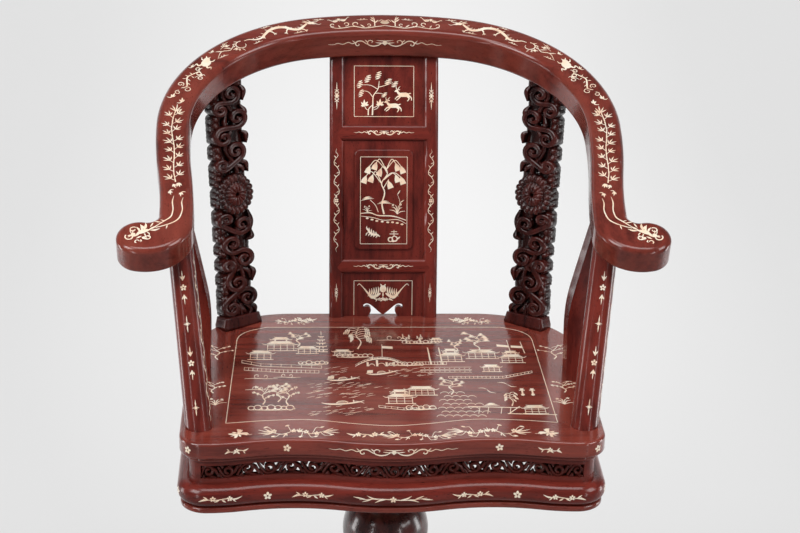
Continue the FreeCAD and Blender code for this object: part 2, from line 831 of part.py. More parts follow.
def frieze_holes():
    """Two staggered rows of piercings in each frieze board."""
    middle = (neck_bottom + frieze_bottom) / 2
    rows = (middle + frieze_window_height / 4, middle - frieze_window_height / 4)
    tools = {}
    spans = {"front": half_seat - front_corner_radius, "side": seat_front - front_corner_radius,
             "back": half_seat - back_corner_radius}
    for side, span in spans.items():
        count = int((span - frieze_end_margin) / frieze_hole_pitch)
        places = []
        for k in range(-count, count + 1):
            for row, shift in zip(rows, (0, frieze_hole_pitch / 2)):
                places.append((frieze_hole_pitch * k + shift, row))
        tools[side] = places
    deep = piercing_reach
    front_y, back_y = -(seat_front + wave_depth), seat_back - deep
    side_middle = (seat_back - back_corner_radius - seat_front) / 2
    side_places = [(y + side_middle, z) for y, z in tools["side"]
                   if y + side_middle < seat_back - back_corner_radius]

    def bored(x, y, z, way):
        return Part.makeCylinder(frieze_hole_radius, deep, V(x, y, z), way)

    return [[bored(x, front_y, z, V(0, 1, 0)) for x, z in tools["front"]],
            [bored(x, back_y, z, V(0, 1, 0)) for x, z in tools["back"]],
            [bored(half_seat - deep, y, z, V(1, 0, 0)) for y, z in side_places],
            [bored(-half_seat, y, z, V(1, 0, 0)) for y, z in side_places]]


def seat_box():
    neck = tier(neck_bottom, seat_under, -neck_setback)
    neck_rims = edges_at(neck, neck_bottom) + edges_at(neck, seat_under)
    neck = neck.makeFillet(neck_round, neck_rims).cut(core)
    save("neck_moulding", Part.makeCompound(mitred(neck)))
    frieze = tier(frieze_bottom, neck_bottom, -frieze_setback).cut(core)
    sides = ("front", "back", "right", "left")
    for side, board, holes in zip(sides, mitred(frieze), frieze_holes()):
        save("frieze_" + side, cut_all(board, holes))
    apron = tier(apron_bottom, frieze_bottom, apron_overhang)
    rims = edges_at(apron, apron_bottom) + edges_at(apron, frieze_bottom)
    apron = apron.makeFillet(apron_round, rims).cut(core)
    bead = tier(box_bottom, apron_bottom, 0)
    bead_rims = edges_at(bead, box_bottom) + edges_at(bead, apron_bottom)
    bead = bead.makeFillet(base_bead_round, bead_rims).cut(core)
    save("base_bead", Part.makeCompound(mitred(bead)))

    bearer_x = (bearer_spread - bearer_width / 2, bearer_spread + bearer_width / 2)
    body = block(bearer_x, wide, (plate_top, bearer_top)).common(core)
    level = (plate_top + frieze_bottom) / 2
    tenon_half, limits = bearer_tenon_width / 2, body.BoundBox
    tenon = block((bearer_spread - tenon_half, bearer_spread + tenon_half),
                  (limits.YMin - bearer_tenon_length, limits.YMax + bearer_tenon_length),
                  (level - bearer_tenon_height / 2, level + bearer_tenon_height / 2))
    screws = [screw(x, y, plate_bottom, plate_screw_length, False)
              for x in (-plate_screw_spread, plate_screw_spread)
              for y in (-plate_screw_spread, plate_screw_spread)]
    bearer = body.fuse(tenon).removeSplitter()
    for side, shape in zip(("right", "left"), both(bearer)):
        save("bearer_" + side, cut_all(shape, screws))
    for side, board in zip(sides, mitred(apron)):
        save("apron_" + side, cut_all(board, both(bearer)))
    save("plate_screws", Part.makeCompound(screws))

    inner_x, inner_y = half_seat - box_inset, seat_front + wave_depth / 2 - box_inset
    front = block((inner_x - block_size, inner_x), (-inner_y, block_size - inner_y),
                  (apron_bottom, seat_under))
    swing = (back_corner_radius - box_inset) * math.sin(math.pi / 4)
    corner_x = half_seat - back_corner_radius + swing
    corner_y = seat_back - back_corner_radius + swing
    back = block((corner_x - block_size, corner_x + block_size),
                 (corner_y - block_size, corner_y + block_size), (apron_bottom, seat_under))
    blocks = [shape.common(core) for shape in both(front) + both(back)]
    clear = list(made["seat_battens"].Solids)
    blocks = [cut_all(shape, clear) for shape in blocks]
    save("corner_blocks", Part.makeCompound(blocks))
    return screws


# Swivel

def swivel(plate_screws):
    half = plate_size / 2
    plate = block((-half, half), (-half, half), (plate_bottom, plate_top))
    upright = edges_where(plate, lambda e: abs(e.BoundBox.ZLength - plate_thickness) < match)
    plate = plate.makeFillet(plate_corner_radius, upright)
    washer_top = socket_bottom - retainer_gap
    ring_top = washer_top - washer_thickness
    spindle_end = ring_top - ring_thickness - spindle_tail
    spindle = Part.makeCylinder(spindle_radius, plate_top - spindle_end, V(0, 0, spindle_end))
    groove = tube(spindle_radius * 2, spindle_radius - ring_bite,
                  ring_top - ring_thickness, ring_top)
    save("spindle", spindle.cut(groove))
    save("mounting_plate", cut_all(plate, plate_screws + [spindle]))
    washer = tube(socket_tube_radius, spindle_radius, ring_top, washer_top)
    save("retaining_washer", washer)
    ring = tube(spindle_radius + ring_bite, spindle_radius - ring_bite,
                ring_top - ring_thickness, ring_top)
    slit = block((-ring_bite, ring_bite), (0, overrun), (ring_top - ring_thickness, ring_top))
    save("retaining_ring", ring.cut(slit))

    flange = Part.makeCylinder(socket_flange_radius, socket_flange_thickness, V(0, 0, flange_bottom))
    body = Part.makeCylinder(socket_tube_radius, socket_length, V(0, 0, socket_bottom))
    bore = Part.makeCylinder(socket_bore_radius, socket_length, V(0, 0, socket_bottom))
    screws = [screw(x, y, flange_top, flange_screw_length, True)
              for x, y in around(flange_screw_circle, flange_screw_count)]
    save("socket_tube", cut_all(flange.fuse(body).cut(bore).removeSplitter(), screws))
    save("flange_screws", Part.makeCompound(screws))

    track = Part.makeTorus(ball_circle_radius, ball_radius + ball_clearance, V(0, 0, ball_level))
    lower = tube(race_outer_radius, race_inner_radius, flange_top, lower_race_top)
    upper = tube(race_outer_radius, race_inner_radius, upper_race_bottom, plate_bottom)
    save("lower_race", lower.cut(track))
    save("upper_race", upper.cut(track))
    cage = tube(ball_circle_radius + cage_half_width, ball_circle_radius - cage_half_width,
                ball_level - cage_thickness / 2, ball_level + cage_thickness / 2)
    balls, pockets = [], []
    for x, y in around(ball_circle_radius, ball_count):
        balls.append(Part.makeSphere(ball_radius, V(x, y, ball_level)))
        pockets.append(Part.makeSphere(ball_radius + ball_clearance, V(x, y, ball_level)))
    save("ball_cage", cut_all(cage, pockets))
    save("bearing_balls", Part.makeCompound(balls))
    return screws


# Pedestal

def dovetail(bottom, top):
    """The tongue of the leg that faces +X, as a prism along Z."""
    outside, neck = hub_radius + dovetail_collar, hub_radius - dovetail_collar
    tip = neck - dovetail_length
    half, root = dovetail_neck / 2, dovetail_root / 2
    points = [V(outside, -half, bottom), V(outside, half, bottom), V(neck, half, bottom),
              V(tip, root, bottom), V(tip, -root, bottom), V(neck, -half, bottom)]
    return polygon_face(points).extrude(V(0, 0, top - bottom))


def leg():
    """The leg that faces +X: a swept knee, a slim ankle and a scrolled foot."""
    root = hub_radius - dovetail_collar
    top = hub_bottom + leg_root_height
    floor = glide_thickness
    toe = leg_reach - foot_height / 2
    heel = leg_reach - foot_length
    span = heel - root
    back_shares = ((0, 1.0), (0.30, 1.0), (0.62, 0.72), (0.90, 0.14))
    belly_shares = ((0.88, -0.34), (0.62, 0.10), (0.40, 0.28))
    place = lambda along, up: V(root + span * along, 0, hub_bottom + leg_root_height * up)
    back = [place(*share) for share in back_shares] + [V(toe, 0, floor + foot_height)]
    belly = [V(heel, 0, floor)] + [place(*share) for share in belly_shares]
    belly.append(V(base_plate_radius + dovetail_collar, 0, hub_bottom))
    nose = arc(back[-1], V(leg_reach, 0, floor + foot_height / 2), V(toe, 0, floor))
    edges = [spline(back), nose, line(V(toe, 0, floor), belly[0]), spline(belly),
             line(belly[-1], V(root, 0, hub_bottom)), line(V(root, 0, hub_bottom), back[0])]
    face = Part.Face(Part.Wire(edges))
    face.translate(V(0, -leg_thickness / 2, 0))
    body = face.extrude(V(0, leg_thickness, 0))
    long_edges = edges_where(body, lambda e: e.BoundBox.YLength < leg_edge_round
                             and e.Length > span / 2)
    body = body.makeFillet(leg_edge_round, long_edges)
    body = body.cut(Part.makeCylinder(hub_radius, hub_top * 2))
    return body.fuse(dovetail(hub_bottom, top)).removeSplitter()


def column():
    """The turned column as one profile about the swivel axis."""
    ball = hub_bead_top + shaft_height * ball_share
    neck_rise = shaft_height * ball_rise_share
    waist_height = hub_bead_top + shaft_height * waist_share

    def p(r, z):
        return V(r, 0, z)

    edges = [line(p(0, hub_bottom), p(hub_radius, hub_bottom)),
             line(p(hub_radius, hub_bottom), p(hub_radius, hub_top)),
             line(p(hub_radius, hub_top), p(hub_radius - hub_bead_radius, hub_top)),
             arc(p(hub_radius - hub_bead_radius, hub_top), p(hub_radius, hub_top + hub_bead_radius),
                 p(hub_radius - hub_bead_radius, hub_bead_top)),
             line(p(hub_radius - hub_bead_radius, hub_bead_top), p(column_neck_radius, hub_bead_top)),
             line(p(column_neck_radius, hub_bead_top), p(column_neck_radius, ball - neck_rise)),
             arc(p(column_neck_radius, ball - neck_rise), p(column_ball_radius, ball),
                 p(column_neck_radius, ball + neck_rise))]
    rise = collar_bottom - waist_height
    flare = column_collar_radius - column_waist_radius
    edges += [spline([p(column_neck_radius, ball + neck_rise), p(column_waist_radius, waist_height),
                      p(column_waist_radius + flare * waist_flare_share,
                        waist_height + rise * waist_rise_share),
                      p(column_collar_radius, collar_bottom)]),
              line(p(column_collar_radius, collar_bottom), p(column_collar_radius, flange_bottom)),
              line(p(column_collar_radius, flange_bottom), p(0, flange_bottom)),
              line(p(0, flange_bottom), p(0, hub_bottom))]
    solid = Part.Face(Part.Wire(edges)).revolve(V(0, 0, 0), UP, 360)
    socket = Part.makeCylinder(socket_tube_radius, flange_bottom - socket_bottom,
                               V(0, 0, socket_bottom))
    access = Part.makeCylinder(column_access_radius, socket_bottom - hub_bottom,
                               V(0, 0, hub_bottom))
    return solid.cut(socket).cut(access)


def turned(shape, turns, count):
    """The same piece at one of several even places about the swivel axis."""
    placed = shape.copy()
    placed.rotate(V(0, 0, 0), UP, 360.0 * turns / count)
    return placed


def pedestal(flange_screws):
    names = ("right", "back", "left", "front")
    right_leg = leg()
    legs = [turned(right_leg, k, len(names)) for k in range(len(names))]
    tongue = dovetail(hub_bottom, hub_bottom + leg_root_height)
    slots = [turned(tongue, k, len(names)) for k in range(len(names))]
    plate = Part.makeCylinder(base_plate_radius, base_plate_thickness,
                              V(0, 0, hub_bottom - base_plate_thickness))
    head = hub_bottom - base_plate_thickness
    screws = [screw(x, y, head, base_screw_length, False)
              for x, y in around(base_screw_circle, len(names))]
    screws += [screw(x, y, head, base_screw_length, False)
               for x, y in around(hub_screw_circle, len(names), 180.0 / len(names))]
    save("column", cut_all(column(), slots + screws + flange_screws))
    for name, shape in zip(names, legs):
        save("leg_" + name, cut_all(shape, screws))
    save("base_plate", cut_all(plate, screws))
    save("base_screws", Part.makeCompound(screws))
    glide_circle = leg_reach - foot_height / 2 - glide_radius
    glides = [Part.makeCylinder(glide_radius, glide_thickness, V(x, y, 0))
              for x, y in around(glide_circle, len(names))]
    save("foot_glides", Part.makeCompound(glides))


front_shape, front_pins = front_post()
side_shape, side_pins = side_post()
carved_shape, carved_pins = carved_post()
for stem, shape in (("front_post", front_shape), ("side_post", side_shape),
                    ("carved_post", carved_shape)):
    save(stem + "_right", shape)
    save(stem + "_left", mirrored(shape))
tenons = splat_pieces() + both(front_pins) + both(side_pins) + both(carved_pins)
rail_sections(tenons)
seat_frame(tenons)
box_screws = seat_box()
pedestal(swivel(box_screws))

for name, shape in made.items():
    shape.exportStep("parts/" + name + ".step")
    solids = shape.Solids
    print(name, len(solids), all(s.isValid() for s in solids), round(sum(s.Volume for s in solids)))
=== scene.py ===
import math

import bpy
import numpy as np
from mathutils import Matrix, Vector


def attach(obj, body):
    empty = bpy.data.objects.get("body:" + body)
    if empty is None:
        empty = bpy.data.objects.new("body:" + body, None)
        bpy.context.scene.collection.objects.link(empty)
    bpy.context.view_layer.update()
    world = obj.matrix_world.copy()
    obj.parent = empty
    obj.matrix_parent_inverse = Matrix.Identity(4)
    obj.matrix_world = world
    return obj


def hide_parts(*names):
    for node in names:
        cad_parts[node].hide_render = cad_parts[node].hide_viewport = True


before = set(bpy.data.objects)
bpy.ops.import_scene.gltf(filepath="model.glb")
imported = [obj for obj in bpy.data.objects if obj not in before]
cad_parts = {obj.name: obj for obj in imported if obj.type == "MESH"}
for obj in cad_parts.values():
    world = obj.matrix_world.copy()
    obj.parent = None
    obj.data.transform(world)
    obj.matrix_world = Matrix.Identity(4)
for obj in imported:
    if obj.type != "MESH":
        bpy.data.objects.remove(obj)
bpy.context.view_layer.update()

# Sizes in metres, as the solid chair has them
MM = 0.001
SEAT_TOP = 470 * MM
HALF_SEAT = 280 * MM
SEAT_FRONT = 207.1 * MM
SEAT_BACK = 219 * MM
WAVE_PITCH = 262 * MM
WAVE_DEPTH = 14.8 * MM
FRONT_CORNER = 35 * MM
BACK_CORNER = 145 * MM
RAIL_LEVEL = SEAT_TOP + 314.3 * MM
RAIL_SLOPE = math.radians(20)
CREST_RADIUS = 640 * MM
CREST_REACH = 342 * MM
CREST_HALF_ANGLE = math.radians(10)
SHOULDER_RADIUS = 250 * MM
RAIL_WIDTH = 46 * MM
RAIL_ROUND = 8 * MM
ARM_OUTER_X = 304.5 * MM
ARM_WIDTH = 44.5 * MM
ARM_END_V = -112 * MM
HAND_X, HAND_V = 329.2 * MM, -148.4 * MM
SPLAT_FOOT_Y, SPLAT_TOP_Y = 200.6 * MM, 303.07 * MM
SPLAT_TOP_HEIGHT, SPLAT_SAGITTA = 370 * MM, 12 * MM
PANEL_DEPTH, PLAQUE_DEPTH = 5 * MM, 1.5 * MM
FRONT_POST_FOOT = np.array((254.8, -159.0, 470.0)) * MM
FRONT_POST_TOP = np.array((278.0, -102.0, 706.7)) * MM
FRONT_POST_RADIUS, FRONT_POST_TAPER = 18.25 * MM, 1.75 * MM
CARVED_POST_FOOT = np.array((212, 178, 470)) * MM
CARVED_POST_BACK, CARVED_POST_OUT, CARVED_POST_RISE = 60.37 * MM, 21.5 * MM, 382.3 * MM
CARVED_POST_TURN = math.radians(38)
SEAT_HALF_THICKNESS = 12 * MM
APRON_LEVEL, APRON_OVERHANG, APRON_HALF_FLAT, APRON_ROUND = 391 * MM, 4 * MM, 2 * MM, 13 * MM

# The photograph's viewpoint, in metres and radians, and its lens in pixels of the picture
CAMERA_PLACE = (-0.12018, -2.66256, 1.23561 + SEAT_TOP)
CAMERA_YAW, CAMERA_PITCH, CAMERA_ROLL = -0.0502678, 0.3827061, 0.0193346
FOCAL_PIXELS, PICTURE_PIXELS = 2109.2, 800
SENSOR_WIDTH = 36.0

SEAT_BODY = "seat"


# Materials

def new_group(name, inputs, outputs):
    """An empty shader node group with named sockets: (name, kind, default) each."""
    group = bpy.data.node_groups.new(name, "ShaderNodeTree")
    for label, kind, value in inputs:
        socket = group.interface.new_socket(label, in_out="INPUT", socket_type="NodeSocket" + kind)
        if value is not None:
            socket.default_value = value
    for label, kind in outputs:
        group.interface.new_socket(label, in_out="OUTPUT", socket_type="NodeSocket" + kind)
    return group, group.nodes.new("NodeGroupInput"), group.nodes.new("NodeGroupOutput")


def node(tree, kind, links=None, **settings):
    """One node with its settings, and its inputs linked or set by name or number."""
    made = tree.nodes.new("ShaderNode" + kind)
    inputs = settings.pop("inputs", {})
    for key, value in settings.items():
        setattr(made, key, value)
    for key, value in inputs.items():
        made.inputs[key].default_value = value
    for key, source in (links or {}).items():
        tree.links.new(source, made.inputs[key])
    return made


def feed(tree, slot, value):
    """Set an input to a plain value, or link a socket to it."""
    if isinstance(value, (int, float, tuple)):
        slot.default_value = value
    else:
        tree.links.new(value, slot)


def maths(tree, operation, a, b):
    """A Math node whose inputs are sockets or plain numbers."""
    made = node(tree, "Math", operation=operation)
    feed(tree, made.inputs[0], a)
    feed(tree, made.inputs[1], b)
    return made.outputs[0]


def mix_colour(tree, factor, a, b, blend="MIX"):
    """A colour Mix node: its factor and its two colours are sockets or plain values."""
    made = node(tree, "Mix", data_type="RGBA", blend_type=blend)
    feed(tree, made.inputs[0], factor)
    feed(tree, made.inputs[6], a)
    feed(tree, made.inputs[7], b)
    return made.outputs[2]


def ramp(tree, factor, stops):
    """A colour ramp through (place, value or colour) stops."""
    made = node(tree, "ValToRGB", links={0: factor})
    elements = made.color_ramp.elements
    while len(elements) < len(stops):
        elements.new(0.5)
    for element, (place, value) in zip(elements, stops):
        element.position = place
        element.color = (value, value, value, 1) if isinstance(value, (int, float)) else (*value, 1)
    return made.outputs[0]


def build_wood_group():
    """Rosewood figure: long streaks and rings along one axis, fine pores, and slow blotches.

    The vector comes in stretched along the grain. Streaks are noise that is
    warped by a slower noise, pores are narrow peaks of a fine noise.
    """
    tones = [(tone, "Color", None) for tone in ("Dark", "Middle", "Light")]
    group, given, out = new_group("rosewood_figure", [("Vector", "Vector", None)] + tones,
                                  [("Color", "Color"), ("Height", "Float")])
    vector = given.outputs["Vector"]
    slow = node(group, "TexNoise", {"Vector": vector}, inputs={"Scale": 9.0, "Detail": 3.0})
    warp = node(group, "VectorMath", {0: slow.outputs["Color"]}, operation="SCALE", inputs={"Scale": 0.06})
    bent = node(group, "VectorMath", {0: vector, 1: warp.outputs[0]}, operation="ADD")
    streak = node(group, "TexNoise", {"Vector": bent.outputs[0]},
                  inputs={"Scale": 95.0, "Detail": 7.0, "Roughness": 0.62})
    broad = node(group, "TexNoise", {"Vector": bent.outputs[0]}, inputs={"Scale": 24.0, "Detail": 4.0})
    pores = node(group, "TexNoise", {"Vector": vector}, inputs={"Scale": 900.0, "Detail": 2.0})
    mask = ramp(group, streak.outputs["Fac"], ((0.33, 0.0), (0.62, 1.0)))
    tone = mix_colour(group, mask, given.outputs["Dark"], given.outputs["Middle"])
    glow = ramp(group, broad.outputs["Fac"], ((0.42, 0.0), (0.72, 0.75)))
    tone = mix_colour(group, glow, tone, given.outputs["Light"])
    pore = ramp(group, pores.outputs["Fac"], ((0.30, 0.0), (0.38, 1.0)))
    tone = mix_colour(group, pore, given.outputs["Dark"], tone)
    group.links.new(tone, out.inputs["Color"])
    group.links.new(pore, out.inputs["Height"])
    return group


def build_wax_group():
    """A film of wax: a soft mask of slow noise, used to vary gloss a little."""
    group, given, out = new_group("wax_film", [("Vector", "Vector", None), ("Scale", "Float", 6.0)],
                                  [("Fac", "Float")])
    cloud = node(group, "TexNoise", {"Vector": given.outputs["Vector"], "Scale": given.outputs["Scale"]},
                 inputs={"Detail": 5.0, "Roughness": 0.6})
    group.links.new(ramp(group, cloud.outputs["Fac"], ((0.35, 0.0), (0.70, 1.0))), out.inputs["Fac"])
    return group


GRAIN_SQUEEZE = 0.07
wood_group = build_wood_group()
wax_group = build_wax_group()


def new_material(name):
    """A new material, with its node tree and its main shader."""
    material = bpy.data.materials.new(name)
    material.use_nodes = True
    tree = material.node_tree
    return material, tree, tree.nodes["Principled BSDF"]


def use_group(tree, group, links, colours=None):
    """A node group placed in a material, its inputs linked or set to colours."""
    made = tree.nodes.new("ShaderNodeGroup")
    made.node_tree = group
    for key, source in links.items():
        tree.links.new(source, made.inputs[key])
    for key, value in (colours or {}).items():
        made.inputs[key].default_value = value
    return made


def object_vector(tree, stretch=(1, 1, 1)):
    """Object coordinates, stretched by a Mapping node."""
    place = node(tree, "TexCoord")
    return node(tree, "Mapping", {"Vector": place.outputs["Object"]}, inputs={"Scale": stretch}).outputs[0]


def rosewood(name, grain, tones, rough=0.20, coat=0.1, shine=0.25, carved=False):
    """Polished rosewood whose grain runs along one axis: x, y or z. Carved wood is darkened in its hollows by
    painted shade.
    """
    material, tree, bsdf = new_material(name)
    vector = object_vector(tree, tuple(GRAIN_SQUEEZE if axis == grain else 1.0 for axis in "xyz"))
    dark, middle, light = tones
    figure = use_group(tree, wood_group, {"Vector": vector},
                       {"Dark": (*dark, 1), "Middle": (*middle, 1), "Light": (*light, 1)})
    film = use_group(tree, wax_group, {"Vector": object_vector(tree)})
    tone = figure.outputs["Color"]
    if carved:
        # Painted shade: the relief attribute darkens the carving's hollows and the backs of its strands
        relief = node(tree, "Attribute", attribute_name="relief")
        shade = ramp(tree, relief.outputs["Fac"], ((0.0, 0.22), (0.55, 0.8), (1.0, 1.0)))
        tone = mix_colour(tree, 1.0, tone, shade, "MULTIPLY")
    tree.links.new(tone, bsdf.inputs["Base Color"])
    gloss = maths(tree, "MULTIPLY", film.outputs["Fac"], 0.08)
    gloss = maths(tree, "ADD", gloss, rough)
    tree.links.new(gloss, bsdf.inputs["Roughness"])
    bump = node(tree, "Bump", {"Height": figure.outputs["Height"]},
                inputs={"Strength": 0.12, "Distance": 0.0003})
    tree.links.new(bump.outputs[0], bsdf.inputs["Normal"])
    bsdf.inputs["Coat Weight"].default_value = coat
    bsdf.inputs["Coat Roughness"].default_value = 0.12
    bsdf.inputs["Specular IOR Level"].default_value = shine
    return material


def shell_inlay():
    """Mother-of-pearl: cream with slow drifts to pink, green and blue, and fine cut lines."""
    material, tree, bsdf = new_material("shell_inlay")
    vector = object_vector(tree)
    drift = node(tree, "TexNoise", {"Vector": vector}, inputs={"Scale": 60.0, "Detail": 3.0})
    tint = ramp(tree, drift.outputs["Fac"], ((0.30, (0.74, 0.50, 0.35)), (0.45, (0.88, 0.70, 0.52)),
                                             (0.55, (0.84, 0.73, 0.58)), (0.72, (0.93, 0.80, 0.66))))
    speck = node(tree, "TexVoronoi", {"Vector": vector}, inputs={"Scale": 420.0})
    wear = ramp(tree, speck.outputs["Distance"], ((0.05, 0.86), (0.45, 1.0)))
    tree.links.new(mix_colour(tree, 1.0, tint, wear, "MULTIPLY"), bsdf.inputs["Base Color"])
    fine = node(tree, "TexNoise", {"Vector": vector}, inputs={"Scale": 700.0, "Detail": 2.0})
    bump = node(tree, "Bump", {"Height": fine.outputs["Fac"]}, inputs={"Strength": 0.25, "Distance": 0.0002})
    tree.links.new(bump.outputs[0], bsdf.inputs["Normal"])
    bsdf.inputs["Roughness"].default_value = 0.28
    bsdf.inputs["Coat Weight"].default_value = 0.4
    return material


def metal(name, colour, rough):
    """Turned metal with fine machining streaks round its axis and a little oil."""
    material, tree, bsdf = new_material(name)
    lines = node(tree, "TexNoise", {"Vector": object_vector(tree, (1, 1, 30))},
                 inputs={"Scale": 60.0, "Detail": 4.0})
    film = use_group(tree, wax_group, {"Vector": object_vector(tree)})
    shade = ramp(tree, lines.outputs["Fac"], ((0.3, 0.82), (0.7, 1.0)))
    tree.links.new(mix_colour(tree, 1.0, (*colour, 1), shade, "MULTIPLY"), bsdf.inputs["Base Color"])
    gloss = maths(tree, "MULTIPLY", film.outputs["Fac"], 0.15)
    tree.links.new(maths(tree, "ADD", gloss, rough), bsdf.inputs["Roughness"])
    bsdf.inputs["Metallic"].default_value = 1.0
    return material


def pad_material():
    """Dark felt: a fine noise of two browns, without gloss."""
    material, tree, bsdf = new_material("felt_pad")
    fibre = node(tree, "TexNoise", {"Vector": object_vector(tree)}, inputs={"Scale": 900.0, "Detail": 3.0})
    tint = ramp(tree, fibre.outputs["Fac"], ((0.3, (0.02, 0.018, 0.015)), (0.7, (0.07, 0.06, 0.05))))
    tree.links.new(tint, bsdf.inputs["Base Color"])
    bsdf.inputs["Roughness"].default_value = 0.9
    return material


# Tones of the wood, each as dark streaks, middle wood and light streaks
RED = (0.055, 0.008, 0.006), (0.135, 0.017, 0.012), (0.215, 0.032, 0.021)
# The rail's and the seat's tones are lighter copies of RED: painted light standing in for the sheen on these
# top-facing parts
RAIL_RED_PAINTED_SHEEN = (0.075, 0.012, 0.008), (0.165, 0.026, 0.017), (0.235, 0.048, 0.031)
SEAT_RED_PAINTED_SHEEN = (0.085, 0.014, 0.010), (0.190, 0.032, 0.021), (0.260, 0.056, 0.037)
CARVED_BROWN = (0.012, 0.002, 0.002), (0.055, 0.009, 0.007), (0.105, 0.016, 0.011)
BAND_BROWN = (0.055, 0.009, 0.006), (0.135, 0.020, 0.015), (0.210, 0.036, 0.025)
TURNED_BROWN = (0.030, 0.008, 0.007), (0.085, 0.022, 0.018), (0.165, 0.034, 0.027)
PLAIN_BROWN = (0.16, 0.07, 0.035), (0.30, 0.15, 0.08), (0.40, 0.22, 0.12)

red_x = rosewood("rosewood_across", "x", RED, rough=0.18, coat=0.25)
red_y = rosewood("rosewood_fore_and_aft", "y", RED, rough=0.18, coat=0.25)
red_z = rosewood("rosewood_upright", "z", RED, rough=0.16, coat=0.4)
rail_x = rosewood("rail_across", "x", RAIL_RED_PAINTED_SHEEN, rough=0.15, coat=0.5)
rail_y = rosewood("rail_fore_and_aft", "y", RAIL_RED_PAINTED_SHEEN, rough=0.15, coat=0.5)
seat_x = rosewood("seat_across", "x", SEAT_RED_PAINTED_SHEEN, rough=0.12, coat=0.6)
seat_y = rosewood("seat_fore_and_aft", "y", SEAT_RED_PAINTED_SHEEN, rough=0.12, coat=0.6)
carved_wood = rosewood("carved_rosewood", "z", CARVED_BROWN, rough=0.2, coat=0.2, carved=True)
pierced_wood = rosewood("pierced_rosewood", "x", BAND_BROWN, rough=0.28, carved=True)
turned_wood = rosewood("turned_rosewood", "z", TURNED_BROWN, coat=0.5, shine=0.5)
plain_wood = rosewood("plain_hardwood", "y", PLAIN_BROWN, rough=0.6, coat=0.0)
shell = shell_inlay()
steel = metal("plain_steel", (0.42, 0.42, 0.43), 0.30)
ground_steel = metal("ground_steel", (0.62, 0.62, 0.64), 0.14)
cage_brass = metal("cage_brass", (0.62, 0.42, 0.14), 0.24)
felt = pad_material()

FINISHES = {
    red_x: ("splat_upper_rail", "splat_lower_rail", "apron_front", "apron_back"),
    red_y: ("apron_right", "apron_left"),
    red_z: ("splat_stile_right", "splat_stile_left", "splat_top_panel", "splat_middle_panel",
            "splat_bottom_panel", "front_post_right", "front_post_left", "side_post_right", "side_post_left"),
    rail_x: ("crest_rail",),
    rail_y: ("arm_rail_right", "arm_rail_left", "hand_rail_right", "hand_rail_left"),
    seat_x: ("seat_panel", "seat_front_rail", "seat_back_rail", "neck_moulding", "base_bead"),
    seat_y: ("seat_side_rail_right", "seat_side_rail_left"),
    carved_wood: ("carved_post_right", "carved_post_left"),
    pierced_wood: ("frieze_front", "frieze_back", "frieze_right", "frieze_left"),
    turned_wood: ("column", "leg_right", "leg_back", "leg_left", "leg_front"),
    plain_wood: ("rail_pegs", "seat_battens", "corner_blocks", "bearer_right", "bearer_left"),
    steel: ("mounting_plate", "spindle", "socket_tube", "base_plate", "retaining_washer",
            "plate_screws", "flange_screws", "base_screws"),
    ground_steel: ("upper_race", "lower_race", "bearing_balls", "retaining_ring"),
    cage_brass: ("ball_cage",),
    felt: ("foot_glides",),
}


def dress_nodes():
    """Give every solid its finish."""
    for material, names in FINISHES.items():
        for name in names:
            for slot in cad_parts[name].material_slots:
                slot.link = "OBJECT"
                slot.material = material


dress_nodes()


# Stage: camera, lights, floor and backdrop

def set_camera():
    """The photograph's viewpoint: a long lens before the chair, above arm height, looking down."""
    yaw, pitch, roll = CAMERA_YAW, CAMERA_PITCH, CAMERA_ROLL
    ahead = Vector((-math.sin(yaw) * math.cos(pitch), math.cos(yaw) * math.cos(pitch), -math.sin(pitch)))
    side = ahead.cross(Vector((0, 0, 1))).normalized()
    above = side.cross(ahead)
    right = side * math.cos(roll) + above * math.sin(roll)
    up = above * math.cos(roll) - side * math.sin(roll)
    lens = bpy.data.cameras.new("photo_lens")
    lens.sensor_width = SENSOR_WIDTH
    lens.lens = FOCAL_PIXELS * SENSOR_WIDTH / PICTURE_PIXELS
    camera = bpy.data.objects.new("photo_camera", lens)
    turn = Matrix((right, up, -ahead)).transposed().to_4x4()
    camera.matrix_world = Matrix.Translation(Vector(CAMERA_PLACE)) @ turn
    bpy.context.collection.objects.link(camera)
    bpy.context.scene.camera = camera


def area_light(name, place, target, size, power):
    """A white soft box at a place, turned to a target."""
    data = bpy.data.lights.new(name, "AREA")
    data.shape = "RECTANGLE"
    data.size, data.size_y = size
    data.energy = power
    lamp = bpy.data.objects.new(name, data)
    lamp.location = place
    lamp.rotation_euler = (Vector(target) - Vector(place)).to_track_quat("-Z", "Y").to_euler()
    bpy.context.collection.objects.link(lamp)


